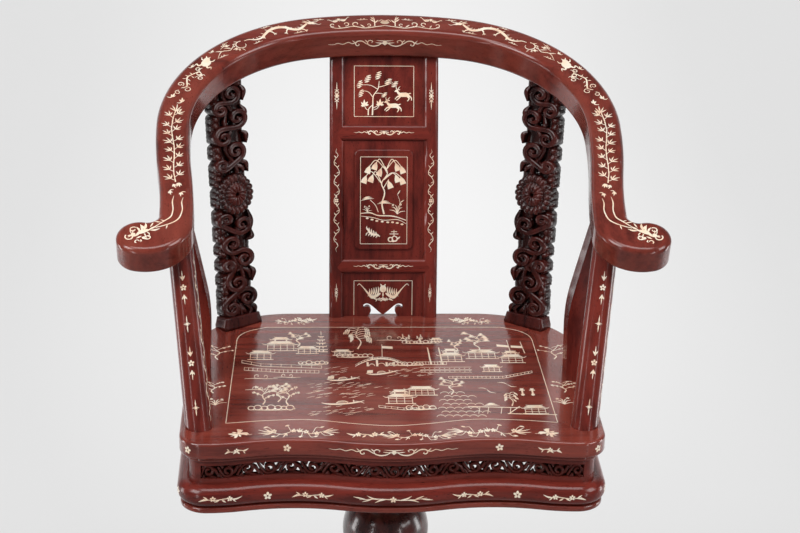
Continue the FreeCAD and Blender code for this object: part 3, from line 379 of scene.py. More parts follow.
def stage_material(name):
    """Paper that glows to the camera with painted light, brightest behind the chair, and clear from behind.

    To everything else it is plain paper, painted greyer towards the front as painted shade, so that the
    chair's fronts catch less light from it.
    """
    material, tree, bsdf = new_material(name)
    place = node(tree, "TexCoord").outputs["Object"]
    shifted = node(tree, "VectorMath", {0: place}, operation="SUBTRACT", inputs={1: (0.1, 1.9, 0.0)})
    squashed = node(tree, "VectorMath", {0: shifted.outputs[0]}, operation="MULTIPLY",
                    inputs={1: (1.0, 0.4, 0.2)})
    distance = node(tree, "VectorMath", {0: squashed.outputs[0]}, operation="LENGTH").outputs["Value"]
    # glow is painted light: the brightness the camera sees on the paper, falling off from a spot behind the
    # chair
    glow = ramp(tree, distance, ((0.15, 0.93), (0.25, 0.91), (0.55, 0.835), (0.65, 0.805), (0.83, 0.765),
                                 (1.0, 0.755)))
    back = node(tree, "SeparateXYZ", {0: place}).outputs["Y"]
    share = maths(tree, "ADD", maths(tree, "MULTIPLY", back, 0.5), 0.5)
    fibre = node(tree, "TexNoise", {"Vector": place}, inputs={"Scale": 3.0})
    flecks = ramp(tree, fibre.outputs["Fac"], ((0.3, 0.97), (0.7, 1.0)))
    # The paper's colour is painted shade: darker towards the front, to dim the light the floor throws back
    # onto the chair
    paper = ramp(tree, share, ((0.25, 0.25), (0.75, 0.92)))
    tree.links.new(mix_colour(tree, 1.0, paper, flecks, "MULTIPLY"), bsdf.inputs["Base Color"])
    bsdf.inputs["Roughness"].default_value = 0.95
    shine = node(tree, "Emission", {"Color": glow})
    seen = node(tree, "LightPath")
    direct = maths(tree, "MAXIMUM", seen.outputs["Is Camera Ray"], seen.outputs["Is Transmission Ray"])
    share_seen = maths(tree, "MULTIPLY", direct, 0.92)
    mixed = node(tree, "MixShader", {0: share_seen, 1: bsdf.outputs[0], 2: shine.outputs[0]})
    facing = node(tree, "NewGeometry")
    behind = maths(tree, "MULTIPLY", facing.outputs["Backfacing"], seen.outputs["Is Camera Ray"])
    nothing = node(tree, "BsdfTransparent")
    clear = node(tree, "MixShader", {0: behind, 1: mixed.outputs[0], 2: nothing.outputs[0]})
    tree.links.new(clear.outputs[0], tree.nodes["Material Output"].inputs["Surface"])
    return material


def set_stage():
    """A floor that curves up into a backdrop, one profile swept sideways, and the soft boxes round it."""
    half, front, depth, height, bend, gap = 6.0, -6.0, 3.2, 4.0, 1.2, 0.0005
    turn = np.linspace(0, math.pi / 2, 16)
    y = np.concatenate(([front], depth - bend + bend * np.sin(turn), [depth]))
    z = np.concatenate(([0.0], bend - bend * np.cos(turn), [height])) - gap
    rows = [(-half, a, b) for a, b in zip(y, z)] + [(half, a, b) for a, b in zip(y, z)]
    n = len(y)
    faces = [(k, n + k, n + k + 1, k + 1) for k in range(n - 1)]
    mesh = bpy.data.meshes.new("paper_sweep")
    mesh.from_pydata(rows, [], faces)
    mesh.polygons.foreach_set("use_smooth", [True] * len(faces))
    sweep = bpy.data.objects.new("paper_sweep", mesh)
    bpy.context.collection.objects.link(sweep)
    mesh.materials.append(stage_material("sweep_paper"))

    world = bpy.context.scene.world or bpy.data.worlds.new("studio")
    bpy.context.scene.world = world
    world.use_nodes = True
    tree = world.node_tree
    backdrop = tree.nodes["Background"]
    backdrop.inputs["Color"].default_value = (0.86, 0.88, 0.92, 1)
    backdrop.inputs["Strength"].default_value = 0.15
    pale = node(tree, "Background", inputs={"Color": (0.76, 0.76, 0.77, 1), "Strength": 1.0})
    seen = node(tree, "LightPath").outputs["Is Camera Ray"]
    mixed = node(tree, "MixShader", {0: seen, 1: backdrop.outputs[0], 2: pale.outputs[0]})
    tree.links.new(mixed.outputs[0], tree.nodes["World Output"].inputs["Surface"])
    area_light("key_softbox", (-2.3, -1.8, 2.6), (0, 0, 0.6), (1.8, 1.8), 80)
    area_light("fill_softbox", (2.6, -1.5, 2.1), (0, 0, 0.6), (1.6, 1.8), 53)
    area_light("top_softbox", (0.0, -1.0, 3.3), (0, 0.1, 0.6), (2.2, 1.4), 47)
    area_light("wall_softbox", (0.0, 1.7, 2.8), (0, 3.2, 1.6), (2.4, 0.6), 10)
    for side, name in ((-1, "left"), (1, "right")):
        area_light(name + "_low_box", (side * 1.5, 0.1, 0.3), (0, 0.2, 0.6), (0.3, 0.7), 4)
        area_light(name + "_low_strip", (side * 0.85, -1.1, 0.35), (side * 0.1, 0, 0.6), (0.05, 0.7), 1.1)
    bpy.context.scene.view_settings.view_transform = "Standard"


set_camera()
set_stage()


# Mesh building from whole arrays

def mesh_piece(name, points, quads, material, smooth=True, relief=None):
    """A piece of the seat body from arrays of points and four-sided faces.

    relief is a value per point from 0, a hollow, to 1, the top of the carving.
    """
    mesh = bpy.data.meshes.new(name)
    mesh.vertices.add(len(points))
    mesh.vertices.foreach_set("co", np.asarray(points, np.float32).ravel())
    mesh.loops.add(quads.size)
    mesh.loops.foreach_set("vertex_index", quads.astype(np.int32).ravel())
    mesh.polygons.add(len(quads))
    mesh.polygons.foreach_set("loop_start", np.arange(0, quads.size, 4, dtype=np.int32))
    mesh.polygons.foreach_set("use_smooth", np.full(len(quads), smooth))
    if relief is not None:
        level = mesh.attributes.new("relief", "FLOAT", "POINT")
        level.data.foreach_set("value", np.asarray(relief, np.float32).ravel())
    mesh.update(calc_edges=True)
    mesh.materials.append(material)
    piece = bpy.data.objects.new(name, mesh)
    bpy.context.collection.objects.link(piece)
    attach(piece, SEAT_BODY)
    return piece


def smooth_line(points, count):
    """A smooth curve through the points: Catmull-Rom spans, stepped evenly along the list."""
    p = np.asarray(points, float)
    p = np.vstack((2 * p[0] - p[1], p, 2 * p[-1] - p[-2]))
    t = np.linspace(0, len(p) - 3, count)
    k = np.minimum(t.astype(int), len(p) - 4)
    f = (t - k)[:, None]
    a, b, c, d = p[k], p[k + 1], p[k + 2], p[k + 3]
    return 0.5 * (2 * b + (c - a) * f + (2 * a - 5 * b + 4 * c - d) * f ** 2
                  + (3 * b - a - 3 * c + d) * f ** 3)


def across(line):
    """The unit vectors to the left of a line of points."""
    step = np.gradient(line, axis=0)
    step /= np.maximum(np.linalg.norm(step, axis=1, keepdims=True), 1e-9)
    return np.stack((-step[:, 1], step[:, 0]), axis=1)


def spread(values, count):
    """A short list of widths, stretched evenly over count points."""
    return np.interp(np.linspace(0, 1, count), np.linspace(0, 1, len(values)), values)


# Inlay drawing, in millimetres on a flat sheet. A cut piece of shell is a strip:
# an array of left and right edge points along a line.

TIP, FRAME_LINE, BORDER_LINE = 0.16, 0.72, 0.95


def strip_along(line, widths):
    """A strip: at each point of a line, half the width to the left and half to the right."""
    side = across(line) * np.maximum(spread(widths, len(line)), TIP)[:, None] / 2
    return np.stack((line + side, line - side), axis=1)


def ribbon(points, widths, count=None):
    """A strip along a smooth line through the points, as wide as the widths say."""
    return strip_along(smooth_line(points, count or 3 * len(points) - 2), widths)


def leaf(start, end, width, bend=0.0):
    """A pointed leaf whose middle is pushed sideways by a share of its length."""
    a, b = np.array(start, float), np.array(end, float)
    side = np.array((a[1] - b[1], b[0] - a[0]))
    return ribbon((a, (a + b) / 2 + side * bend, b), (0, 0.8 * width, width, 0.7 * width, 0), 7)


def leaves(*rows):
    """Leaves given as (start x, start y, end x, end y, width), some with their bend."""
    return [leaf(row[:2], row[2:4], *row[4:]) for row in rows]


def disc(centre, rx, ry=None):
    """A round or oval piece: x = rx cos t, y = ry sin t."""
    t = np.linspace(math.pi, 0, 9)
    x = centre[0] + rx * np.cos(t)
    y = np.maximum((ry or rx) * np.sin(t), TIP / 2)
    return np.stack((np.stack((x, centre[1] + y), 1), np.stack((x, centre[1] - y), 1)), axis=1)


def plate(a, b, c, d):
    """A four-cornered piece, its corners in turn anticlockwise."""
    return np.array(((d, a), (c, b)), float)


def bar(x0, x1, y0, y1):
    """A box from x0 to x1 across and from y0 to y1 up."""
    return plate((x0, y0), (x1, y0), (x1, y1), (x0, y1))


def curl(centre, start_radius, end_radius, start_deg, turns, widths):
    """A spiral: the radius shrinks evenly from the start to the end of the turns."""
    t = np.linspace(0, 1, int(9 * abs(turns)) + 5)
    angle = math.radians(start_deg) + 2 * math.pi * turns * t
    radius = start_radius + (end_radius - start_radius) * t
    line = np.array(centre) + radius[:, None] * np.stack((np.cos(angle), np.sin(angle)), 1)
    return strip_along(line, widths)


def curls(*rows):
    """Spirals given as (centre x, centre y, start radius, end radius, start degrees, turns, widths)."""
    return [curl(row[:2], *row[2:]) for row in rows]


def placed(strips, at=(0, 0), size=1.0, turn=0.0, flip=False):
    """A drawing moved, scaled and turned, in degrees; flip mirrors it left to right first."""
    a = math.radians(turn)
    spin = np.array(((math.cos(a), math.sin(a)), (-math.sin(a), math.cos(a)))) * size
    out = []
    for strip in strips:
        if flip:
            strip = (strip * (-1, 1))[:, ::-1]
        out.append(strip @ spin + np.array(at, float))
    return out


def two_sided(strips):
    """The strips and their mirror images."""
    return strips + placed(strips, flip=True)


def stretched(strips, wide, tall):
    """A drawing scaled by one factor across and another up."""
    return [strip * (wide, tall) for strip in strips]


def restretched(strip, wide, tall):
    """A strip whose line is scaled across and up, while its width stays as it was."""
    width = np.linalg.norm(strip[:, 0] - strip[:, 1], axis=1)
    return strip_along(strip.mean(axis=1) * (wide, tall), width)


def blossom(radius, petals=5, turn=90.0):
    """Round petals about a small gap."""
    out = []
    for k in range(petals):
        a = math.radians(turn + 360.0 * k / petals)
        way = np.array((math.cos(a), math.sin(a))) * radius
        wide = radius * 3.3 / petals
        out.append(ribbon((way * 0.2, way * 0.6, way), (0.3 * wide, wide, 0.95 * wide, 0.4 * wide), 5))
    return out


def star(radius):
    """Eight rays, long and short in turn."""
    out = []
    for k in range(8):
        a = 2 * math.pi * k / 8 + math.pi / 2
        reach = radius * (0.62 if k % 2 else 1.0)
        out.append(leaf((0, 0), (reach * math.cos(a), reach * math.sin(a)), radius * 0.24))
    return out


def arrow_bud(length):
    """A stalked bud pointing down at its root, its side petals swept back."""
    side = (0, length * 0.12, length * 0.26, length * 0.5, length * 0.15)
    return (leaves((0, 0, 0, length * 0.55, length * 0.26))
            + [ribbon(((0, length * 0.3), (0, length)), (0.9, 1.3, 0.4), 5)]
            + leaves(side, (0, side[1], -side[2], *side[3:])))


def twig(length, buds=2):
    """A flowering twig that lies level, flowers in the middle and leaves at both ends."""
    half = length / 2
    out = [ribbon(((-half * 0.75, -0.6), (-half * 0.3, 0.8), (half * 0.3, -0.6), (half * 0.8, 0.8)),
                  (0.4, 0.8, 0.8, 0.4))]
    for x0, y0, x1, y1, width, *bend in ((-0.45, 0, -1, 2.2, 1.7, 0.1), (-0.55, 0, -0.72, -3.6, 1.3),
                                         (0.5, 0, 1, -2.4, 2.0, 0.1), (0.6, 0.5, 0.8, 3.4, 1.3),
                                         (-0.05, -0.4, -0.25, -3.4, 1.8), (0.05, -0.4, 0.3, -3.0, 1.5)):
        out.append(leaf((x0 * half, y0), (x1 * half, y1), width, *bend))
    spots = ((0.0, 0.4),) if buds == 1 else ((-half * 0.42, 0.5), (half * 0.36, 0.7))
    for spot in spots:
        out += placed(blossom(2.9), spot)
    return out


def scroll_ornament(length, rise):
    """A symmetric scroll: a diamond, two curls to each side and a wavy tail.

    The right half is drawn as shares of half the length and of the rise.
    """
    inner = ((0.05, 0), (0.12, -0.62), (0.21, -0.82), (0.29, -0.4), (0.305, 0.35), (0.265, 0.8), (0.215, 0.5),
             (0.235, 0.12))
    outer = ((0.25, -0.62), (0.33, -0.1), (0.40, 0.6), (0.48, 0.62), (0.52, 0.0), (0.495, -0.6),
             (0.455, -0.45), (0.465, -0.1))
    tail = ((0.49, 0.5), (0.57, 0.0), (0.65, 0.42), (0.74, -0.05), (0.83, 0.28), (0.91, 0.0), (1.0, 0.15))
    right = [ribbon(inner, (0.9, 1.5, 1.7, 1.5, 1.3, 1.1, 0.9, 0.6), 24),
             ribbon(outer, (0.5, 1.2, 1.6, 1.5, 1.3, 1.0, 0.7), 24),
             ribbon(tail, (1.3, 1.1, 0.9, 0.8, 0.6, 0.3), 22)]
    right += leaves((0.055, 0.1, 0.15, 0.75, 1.8, 0.2), (0.30, 0.2, 0.355, 0.95, 1.4),
                    (0.07, 0.0, 0.17, 0.12, 1.2), (0.52, 0.1, 0.575, 0.85, 1.2))
    d = rise * 0.62
    middle = [plate((-d * 1.2, 0), (0, -d), (d * 1.2, 0), (0, d))]
    middle += leaves((d, 0, d * 2.4, 0, d * 0.5), (-d, 0, -d * 2.4, 0, d * 0.5))
    return middle + two_sided([restretched(strip, length / 2, rise) for strip in right])


def vine(length, rise, cells, width):
    """A chain of bent stems, bowed to one side and the other in turn, crossing between bows.

    Each stem and its two leaves are drawn as shares of the cell's length and of the rise.
    """
    out, pitch = [], length / cells
    stem = ((-0.26, -0.7), (0.02, -0.15), (0.22, 0.75), (0.55, 1.0), (0.92, 0.3), (1.18, -0.55))
    for k in range(cells):
        x, s = -length / 2 + pitch * k, 1 if k % 2 else -1
        out.append(ribbon(np.array(stem) * (pitch, s * rise) + (x, 0),
                          (0.3, width, 1.3 * width, 1.1 * width, 0.9 * width, 0.3), 16))
        out += leaves((x + 0.95 * pitch, s * 0.2 * rise, x + 1.22 * pitch, s * rise, width * 1.6),
                      (x + 0.5 * pitch, s * rise * 0.9, x + 0.34 * pitch, -s * rise * 0.1, width * 1.3))
    for end in (-1, 1):
        x = end * length / 2
        out.append(ribbon(((x, 0), (x + end * 4, rise * 0.5), (x + end * 8, -rise * 0.3), (x + end * 13, 0)),
                          (width, 0.8 * width, 0.5, 0.2), 12))
    return out


def bat(width):
    """A bat seen from above, wings spread: the wing's edge is a line hooked at its tip, its ribs leaves."""
    w = width / 2
    edge = np.array(((0.10, -0.12), (0.24, -0.20), (0.42, -0.26), (0.58, -0.12), (0.76, 0.08), (0.92, 0.22),
                     (1.0, 0.16))) * w
    wing = [ribbon(edge, (w * 0.05, w * 0.10, w * 0.12, w * 0.07, 1.0, 0.9, 0.5), 24)]
    for k in range(5):
        x = (0.2 + 0.085 * k) * w
        wing.append(leaf((x + 0.05 * w, (-0.2 - 0.01 * k) * w), (x - 0.01 * w, (0.13 - 0.02 * k) * w),
                         w * 0.06, 0.14))
    head = [disc((0, 0.04 * w), 0.13 * w, 0.13 * w)]
    for x0, y0, x1, y1, wide in ((0.05, 0.14, 0.10, 0.22, 0.05), (-0.05, 0.14, -0.10, 0.22, 0.05),
                                 (0, -0.08, 0, -0.26, 0.06)):
        head.append(leaf((x0 * w, y0 * w), (x1 * w, y1 * w), wide * w))
    return head + two_sided(wing)


def dragon(length):
    """A long dragon facing left: a waving body with back spines, four clawed legs, mane and whiskers."""
    s = length / 100.0
    bends = ((8, 6), (14, 0), (22, -5), (31, -2), (39, 5), (49, 8), (60, 6), (70, 0), (78, -5), (87, -4),
             (94, 1), (101, 2))
    spine = smooth_line(np.array(bends) * s, 44)
    out = [ribbon(spine, (2.4 * s, 4.2 * s, 4.8 * s, 5.0 * s, 4.4 * s, 3.2 * s, 2.0 * s, 0.8 * s), 44)]
    side = across(spine)
    for k in range(3, 37, 3):
        root = spine[k] + side[k] * 1.8 * s
        out.append(leaf(root, root + side[k] * 3.0 * s + (2.0 * s, 0), 1.1 * s))
    head = [disc((3, 6), 4.2, 2.6)]
    head += leaves((4, 5, -5, 3, 2.6), (4, 7.5, -5, 7.4, 2.2), (5, 8, 13, 13, 1.5), (5, 7, 14, 10, 1.3),
                   (2, 8, 7, 14, 1.2))
    head += [ribbon(((-4, 7.5), (-8, 10), (-5, 13), (-1, 12)), (0.8, 0.7, 0.3)),
             ribbon(((-4, 3), (-8, 1), (-11, 3)), (0.8, 0.6, 0.3))]
    out += placed(head, size=s)
    for x, y, out_x, out_y in ((20, -4, -7, -5), (34, 1, 6, -8), (62, 5, -5, -8), (66, 2, 7, -7)):
        knee = np.array((x + out_x, y + out_y))
        leg = ribbon(((x, y), (x + out_x * 0.7, y + out_y * 0.45), knee), (2.6, 2.0, 1.3), 7)
        out += placed([leg], size=s)
        for claw in (-1, 0, 1):
            a = math.atan2(out_y, out_x) + 0.7 * claw
            out.append(leaf(knee * s, (knee + 4.2 * np.array((math.cos(a), math.sin(a)))) * s, 1.1 * s))
    x, y = 109, -3.5
    tail = [curl((x, y), 9.0, 5.5, 115, -0.8, (1.2, 1.3, 1.1, 0.6))]
    for a in (1.5, 1.0, 0.5, 0.0, -0.5, -1.0):
        root = (x + 8.4 * math.cos(a), y + 8.4 * math.sin(a))
        tail.append(leaf(root, (x + 13 * math.cos(a - 0.3), y + 13 * math.sin(a - 0.3)), 1.2))
    return out + placed(tail, size=s)


def toad(size):
    """A squat three-legged toad, seen from above, with a looped string of coins beside it."""
    body = [disc((0, 0), 5.2, 4.2), disc((-4.8, 1.6), 3.0, 2.6)]
    body += leaves((-6, 2.5, -9.4, 4.4, 1.1), (-6, 1.2, -9.6, 0.4, 1.1))
    legs = [ribbon(((2.5, 2), (6, 4.5), (4, 7), (7.5, 8)), (2.0, 1.6, 1.2, 0.5)),
            ribbon(((2.5, -2), (6, -4), (3.6, -6.4), (7, -7.6)), (2.0, 1.6, 1.2, 0.5)),
            ribbon(((-3, 3), (-3.4, 5.6), (-6, 7)), (1.6, 1.2, 0.5)),
            ribbon(((-3.4, -2), (-5, -4.4), (-8, -4.8)), (1.4, 1.1, 0.5))]
    string = [ribbon(((8, 0), (11, 2.5), (14, 0), (17, -2.5), (20, 0), (23, 2)), (0.6, 0.6, 0.5))]
    coins = [curl((10.5 + 6 * k, 3.2 - 3.0 * k), 1.9, 1.9, 0, 1.0, (0.8, 0.8)) for k in range(3)]
    return placed(body + legs + string + coins, size=size)


def leaf_fan(at, way_deg, reach, count, wide, arc_deg):
    """Pointed leaves spread from one spot, the middle one longest."""
    out = []
    for k in range(count):
        off = (k / (count - 1) - 0.5) * arc_deg
        a = math.radians(way_deg + off)
        long = reach * (1 - 0.35 * abs(off) / arc_deg * 2)
        out.append(leaf(at, (at[0] + long * math.cos(a), at[1] + long * math.sin(a)), wide, 0.05))
    return out


def tuft(size):
    """A small flame of three curved leaves on a short stalk."""
    stalk = ribbon(((0, 0), (1.6, -1.6), (4.2, -1.2)), (1.3, 1.0, 0.3), 6)
    return placed(leaf_fan((0, 0), 90, 6.0, 3, 1.7, 70) + [stalk], size=size)


def long_tailed_bird(size):
    """A bird facing right with spread wing, crested head and feet."""
    body = leaves((-7, -1, 7, 1, 5.0, 0.1)) + [disc((8.4, 2.6), 2.1, 1.8)]
    feathers = leaves((10, 2.6, 14, 2.0, 1.2), (8, 4, 5, 8, 1.0), (9, 4, 8, 8.6, 0.9),
                      (-2, 2, -9, 9, 2.4, 0.1), (0, 2.4, -4, 10, 2.4, 0.1), (2, 2.4, 1, 9.4, 2.0, 0.1))
    feet = [ribbon(((0, -2), (1, -5), (4, -7)), (1.0, 0.8, 0.4)),
            ribbon(((-3, -2), (-3, -5), (0, -7.6)), (1.0, 0.8, 0.4))]
    tail = leaves((-6, -1, -14, -5, 2.0, 0.1), (-6, 0, -14, -0.6, 2.0))
    return placed(body + feathers + feet + tail, size=size)


def butterfly(size):
    """A butterfly seen from above: a pair of wings and a feeler to each side of a narrow body."""
    half = [ribbon(((0.3, 0.8), (3.5, 4.2), (7.0, 4.0)), (0.8, 3.4, 3.0, 0.8), 8),
            ribbon(((0.3, -0.6), (3.0, -2.8), (5.2, -4.2)), (0.8, 2.6, 2.0, 0.6), 8),
            ribbon(((0.2, 2.0), (1.4, 4.6), (3.4, 6.4)), (0.4, 0.4, 0.3))]
    return placed([leaf((0, -3.2), (0, 2.6), 1.3)] + two_sided(half), size=size)


def orchid(size):
    """A tuft of long arching leaves with two small flowers."""
    out = []
    for reach, rise, wide in ((-13, 7, 1.3), (-9, 12, 1.4), (-4, 15, 1.2), (3, 14, 1.2), (8, 11, 1.4),
                              (13, 5, 1.3)):
        out.append(ribbon(((0, 0), (reach * 0.4, rise * 0.8), (reach, rise)), (0.8, wide, 0.3), 8))
    return placed(out + placed(blossom(2.2), (5, 16)) + placed(blossom(1.9), (-7, 15)), size=size)


def bamboo(height, seed):
    """An upright jointed stem whose side twigs end in fans of pointed leaves."""
    chance = np.random.default_rng(seed)
    joints = max(3, int(height / 19))
    step = height / joints
    bend = [1.6 * math.sin(1.3 * k) for k in range(joints + 1)]
    out = []
    for k in range(joints):
        joint = ((bend[k], step * k + 0.4), (bend[k + 1], step * (k + 1) - 0.4))
        out.append(ribbon(joint, (1.7, 1.2, 1.6), 3))
        for side in (1, -1):
            low = step * (k + (0.15 if side > 0 else 0.55)) + chance.uniform(-1.5, 1.5)
            root = (np.interp(low / step, range(joints + 1), bend), low)
            tip = (root[0] + side * chance.uniform(4.0, 5.5), low + chance.uniform(3, 6))
            out.append(ribbon((root, ((root[0] + tip[0]) / 2, tip[1] - 2.5), tip), (0.9, 0.9, 0.8), 6))
            out += leaf_fan(tip, 90 - side * chance.uniform(30, 48), chance.uniform(11, 13.5), 4, 1.75, 105)
    out += leaf_fan((bend[-1], height), 90, 16, 5, 1.8, 110)
    return out


def cloud(width):
    """A low drift of cloud: a level line with three curls."""
    w = width / 2
    return [ribbon(((-w, 0), (-w * 0.3, 0.6), (w * 0.3, -0.3), (w, 0.3)), (0.3, 0.9, 0.9, 0.3)),
            curl((-w * 0.25, w * 0.2), w * 0.2, w * 0.06, -90, -0.9, (0.5, 0.8, 0.5)),
            curl((w * 0.25, w * 0.17), w * 0.17, w * 0.05, -90, 0.9, (0.5, 0.8, 0.5))]


def roof(width, rise):
    """A curved roof with upturned eaves and a ridge, drawn as shares of half its width and of its rise."""
    size = (width / 2, rise)
    eaves = np.array(((-1.12, 0.35), (-0.92, 0), (-0.4, 0.12), (0.4, 0.12), (0.92, 0), (1.12, 0.35))) * size
    tiles = np.array(((-0.86, 0.26), (0.86, 0.26), (0.5, 0.86), (-0.5, 0.86))) * size
    ridge = np.array(((-0.66, 1.12), (-0.5, 0.96), (0.5, 0.96), (0.66, 1.12))) * size
    return [ribbon(eaves, (0.5, 1.0, 0.9, 0.9, 1.0, 0.5), 18), plate(*tiles),
            ribbon(ridge, (0.4, 0.9, 0.9, 0.4), 10)]


def pavilion(width, height, tiers=1, posts=4):
    """A hall on a plinth: posts and rails under one or two roofs."""
    w, wall = width / 2, height * 0.46
    out = [bar(-w * 1.08, w * 1.08, -0.6, 0.5)]
    for k in range(posts):
        x = -w * 0.85 + 1.7 * w * k / (posts - 1)
        out.append(bar(x - 0.45, x + 0.45, 0.5, wall))
    out.append(bar(-w * 0.85, w * 0.85, wall * 0.36, wall * 0.36 + 0.5))
    out.append(bar(-w * 0.85, w * 0.85, wall * 0.80, wall * 0.80 + 0.5))
    out += placed(roof(width * 1.1, height * 0.27), (0, wall))
    if tiers > 1:
        for left, right in ((-0.42, -0.32), (0.32, 0.42)):
            out.append(bar(left * w, right * w, height * 0.74, height * 0.86))
        out += placed(roof(width * 0.68, height * 0.2), (0, height * 0.84))
    return out


def pagoda(height):
    """A tower of five shrinking roofs under a spire, on a stepped base."""
    tiers = 5
    out = [bar(-height * 0.26, height * 0.26, -0.6, 0.6)]
    step = height * 0.78 / tiers
    for k in range(tiers):
        w = height * (0.40 - 0.055 * k)
        low, eaves, tips = step * k + 0.6, step * (k + 0.62), step * (k + 0.86)
        out += [bar(-w * 0.27, -w * 0.15, low, eaves), bar(w * 0.15, w * 0.27, low, eaves)]
        out.append(ribbon(((-w * 0.66, tips), (-w * 0.5, eaves), (w * 0.5, eaves), (w * 0.66, tips)),
                          (0.4, 1.3, 1.3, 0.4), 10))
    out.append(leaf((0, height * 0.76), (0, height), 1.2))
    return out


def arch_bridge(width, rise):
    """A humped bridge with a paved deck, a parapet of short posts and a round arch."""
    w = width / 2
    x = np.linspace(-1, 1, 17)
    deck = np.stack((x * w, rise * (1 - x ** 2)), 1)
    out = [ribbon(deck, (0.8, 2.0, 2.6, 2.0, 0.8), 30), ribbon(deck + (0, 3.0), (0.4, 0.7, 0.7, 0.4), 30)]
    for k in range(1, 16):
        out.append(bar(deck[k, 0] - 0.3, deck[k, 0] + 0.3, deck[k, 1] + 0.8, deck[k, 1] + 3.2))
    for at in (-0.36, 0.0, 0.36):
        r = rise * (0.30 - 0.24 * abs(at))
        out.append(curl((at * w, rise * 0.06), r * 1.2, r * 1.2, 0, 0.5, (0.8, 1.0, 0.8)))
        out.append(bar((at - 0.20) * w, (at - 0.12) * w, rise * 0.02, rise * (0.82 - 0.8 * abs(at))))
    out.append(bar(0.44 * w, 0.52 * w, rise * 0.02, rise * 0.55))
    return out


def boat(length, lean, sail=True):
    """A river boat: an upswept hull, a matted cabin, a boatman and a stern sail or flag."""
    w = length / 2
    out = [ribbon(((-w, 3.4), (-w * 0.7, 0.8), (-w * 0.2, -0.4), (w * 0.4, 0.2), (w * 0.8, 1.8), (w, 3.2)),
                  (0.5, 1.9, 2.3, 2.2, 1.4, 0.4), 18),
           ribbon(((-w * 0.3, 1.2), (-w * 0.2, 4.2), (w * 0.1, 4.4), (w * 0.22, 1.4)), (0.7, 1.0, 0.7), 12),
           ribbon(((-w * 0.32, 2.6), (w * 0.24, 2.8)), (0.6, 0.6)),
           disc((w * 0.5, 4.6), 0.9), leaf((w * 0.5, 1.6), (w * 0.5, 4.2), 1.7),
           ribbon(((w * 0.5, 3.4), (w * 0.72, 2.4), (w * 0.98, -1.2)), (0.5, 0.5, 0.5))]
    if sail:
        out += [plate((-w * 0.95, 4.0), (-w * 0.58, 3.0), (-w * 0.52, 8.2), (-w * 0.88, 8.6)),
                ribbon(((-w * 0.74, 1.4), (-w * 0.72, 9.2)), (0.6, 0.4))]
    return placed(out, turn=lean)


def pad_of_leaves(width, layers=3):
    """A layered pad of foliage: level strokes, each shorter than the last."""
    out = []
    for k in range(layers):
        w = width * (1 - 0.24 * k) / 2
        out.append(leaf((-w, k * 1.75), (w, k * 1.75 + 0.4), 1.5, 0.06))
    return out


def spreading_tree(height, seed, pads):
    """A tree with a bent trunk whose branches carry layered pads."""
    chance = np.random.default_rng(seed)
    trunk = np.array(((0, 0), (1.2, 0.2), (-0.6, 0.42), (1.4, 0.62), (0.4, 0.8))) * (height * 0.1, height)
    out = [ribbon(trunk, (1.7, 1.5, 1.2, 0.8), 18)]
    for k in range(pads):
        way = -1 if k % 2 else 1
        level = 0.5 + 0.44 * k / max(1, pads - 1)
        root = (np.interp(level * 0.86, (0, 0.2, 0.42, 0.62, 0.8), trunk[:, 0]), level * height * 0.8)
        reach = way * height * chance.uniform(0.20, 0.50) * (1.25 - 0.5 * level)
        tip = (root[0] + reach, root[1] + height * chance.uniform(0.06, 0.16))
        out.append(ribbon((root, ((root[0] + tip[0]) / 2, tip[1] - 0.6), tip), (0.9, 0.7, 0.4), 6))
        out += placed(pad_of_leaves(height * chance.uniform(0.22, 0.30)), tip, turn=chance.uniform(-8, 8))
    return out


def willow(height, seed, fronds):
    """A tall tree whose hanging fronds are bunches of long leaves."""
    chance = np.random.default_rng(seed)
    trunk = np.array(((0, 0), (0.10, 0.3), (-0.03, 0.6), (0.06, 0.93))) * height
    out = [ribbon(trunk, (1.8, 1.4, 1.0, 0.5), 14)]
    for k in range(fronds):
        way = -1 if k % 2 else 1
        level = 0.42 + 0.54 * k / fronds
        root = (0.02 * height, level * height)
        reach = height * chance.uniform(0.16, 0.36)
        tip = (root[0] + way * reach, root[1] - height * 0.02)
        bend = (root[0] + way * reach * 0.55, root[1] + height * 0.06)
        out.append(ribbon((root, bend, tip), (0.7, 0.6, 0.4), 7))
        for j in range(3):
            x, y = tip[0] - way * reach * 0.16 * j, tip[1] + 0.6 * j
            end = (x + way * 1.2, y - height * chance.uniform(0.11, 0.17))
            out.append(leaf((x, y), end, 1.9, 0.05 * way))
    return out


def plum_tree(height, seed, lean=1.0):
    """A gnarled tree in flower: forked branches with blossoms and a few leaves."""
    chance = np.random.default_rng(seed)
    grown = np.array((height * lean, height))
    trunk = np.array(((0, 0), (0.08, 0.2), (-0.04, 0.45), (0.1, 0.7), (0.22, 0.95))) * grown
    out = [ribbon(trunk, (1.9, 1.6, 1.2, 0.9, 0.4), 18)]
    for low, x, y in ((0.26, 0.42, 0.50), (0.42, -0.40, 0.62), (0.55, 0.45, 0.78), (0.66, -0.30, 0.90),
                      (0.8, 0.42, 1.0)):
        tip, root = (x, y) * grown, (0.02, low) * grown
        mid = (root + tip) / 2 + (0, 0.03 * height)
        out.append(ribbon((root, mid, tip), (0.9, 0.7, 0.4), 8))
        for spot in (tip, mid):
            flower = blossom(chance.uniform(1.7, 2.3), turn=chance.uniform(0, 72))
            out += placed(flower, spot + chance.uniform(-0.8, 0.8, 2))
        for _ in range(3):
            at = root + (tip - root) * chance.uniform(0.3, 1.0)
            a = chance.uniform(0, 2 * math.pi)
            out.append(leaf(at, at + 3.4 * np.array((math.cos(a), math.sin(a))), 1.2))
    return out


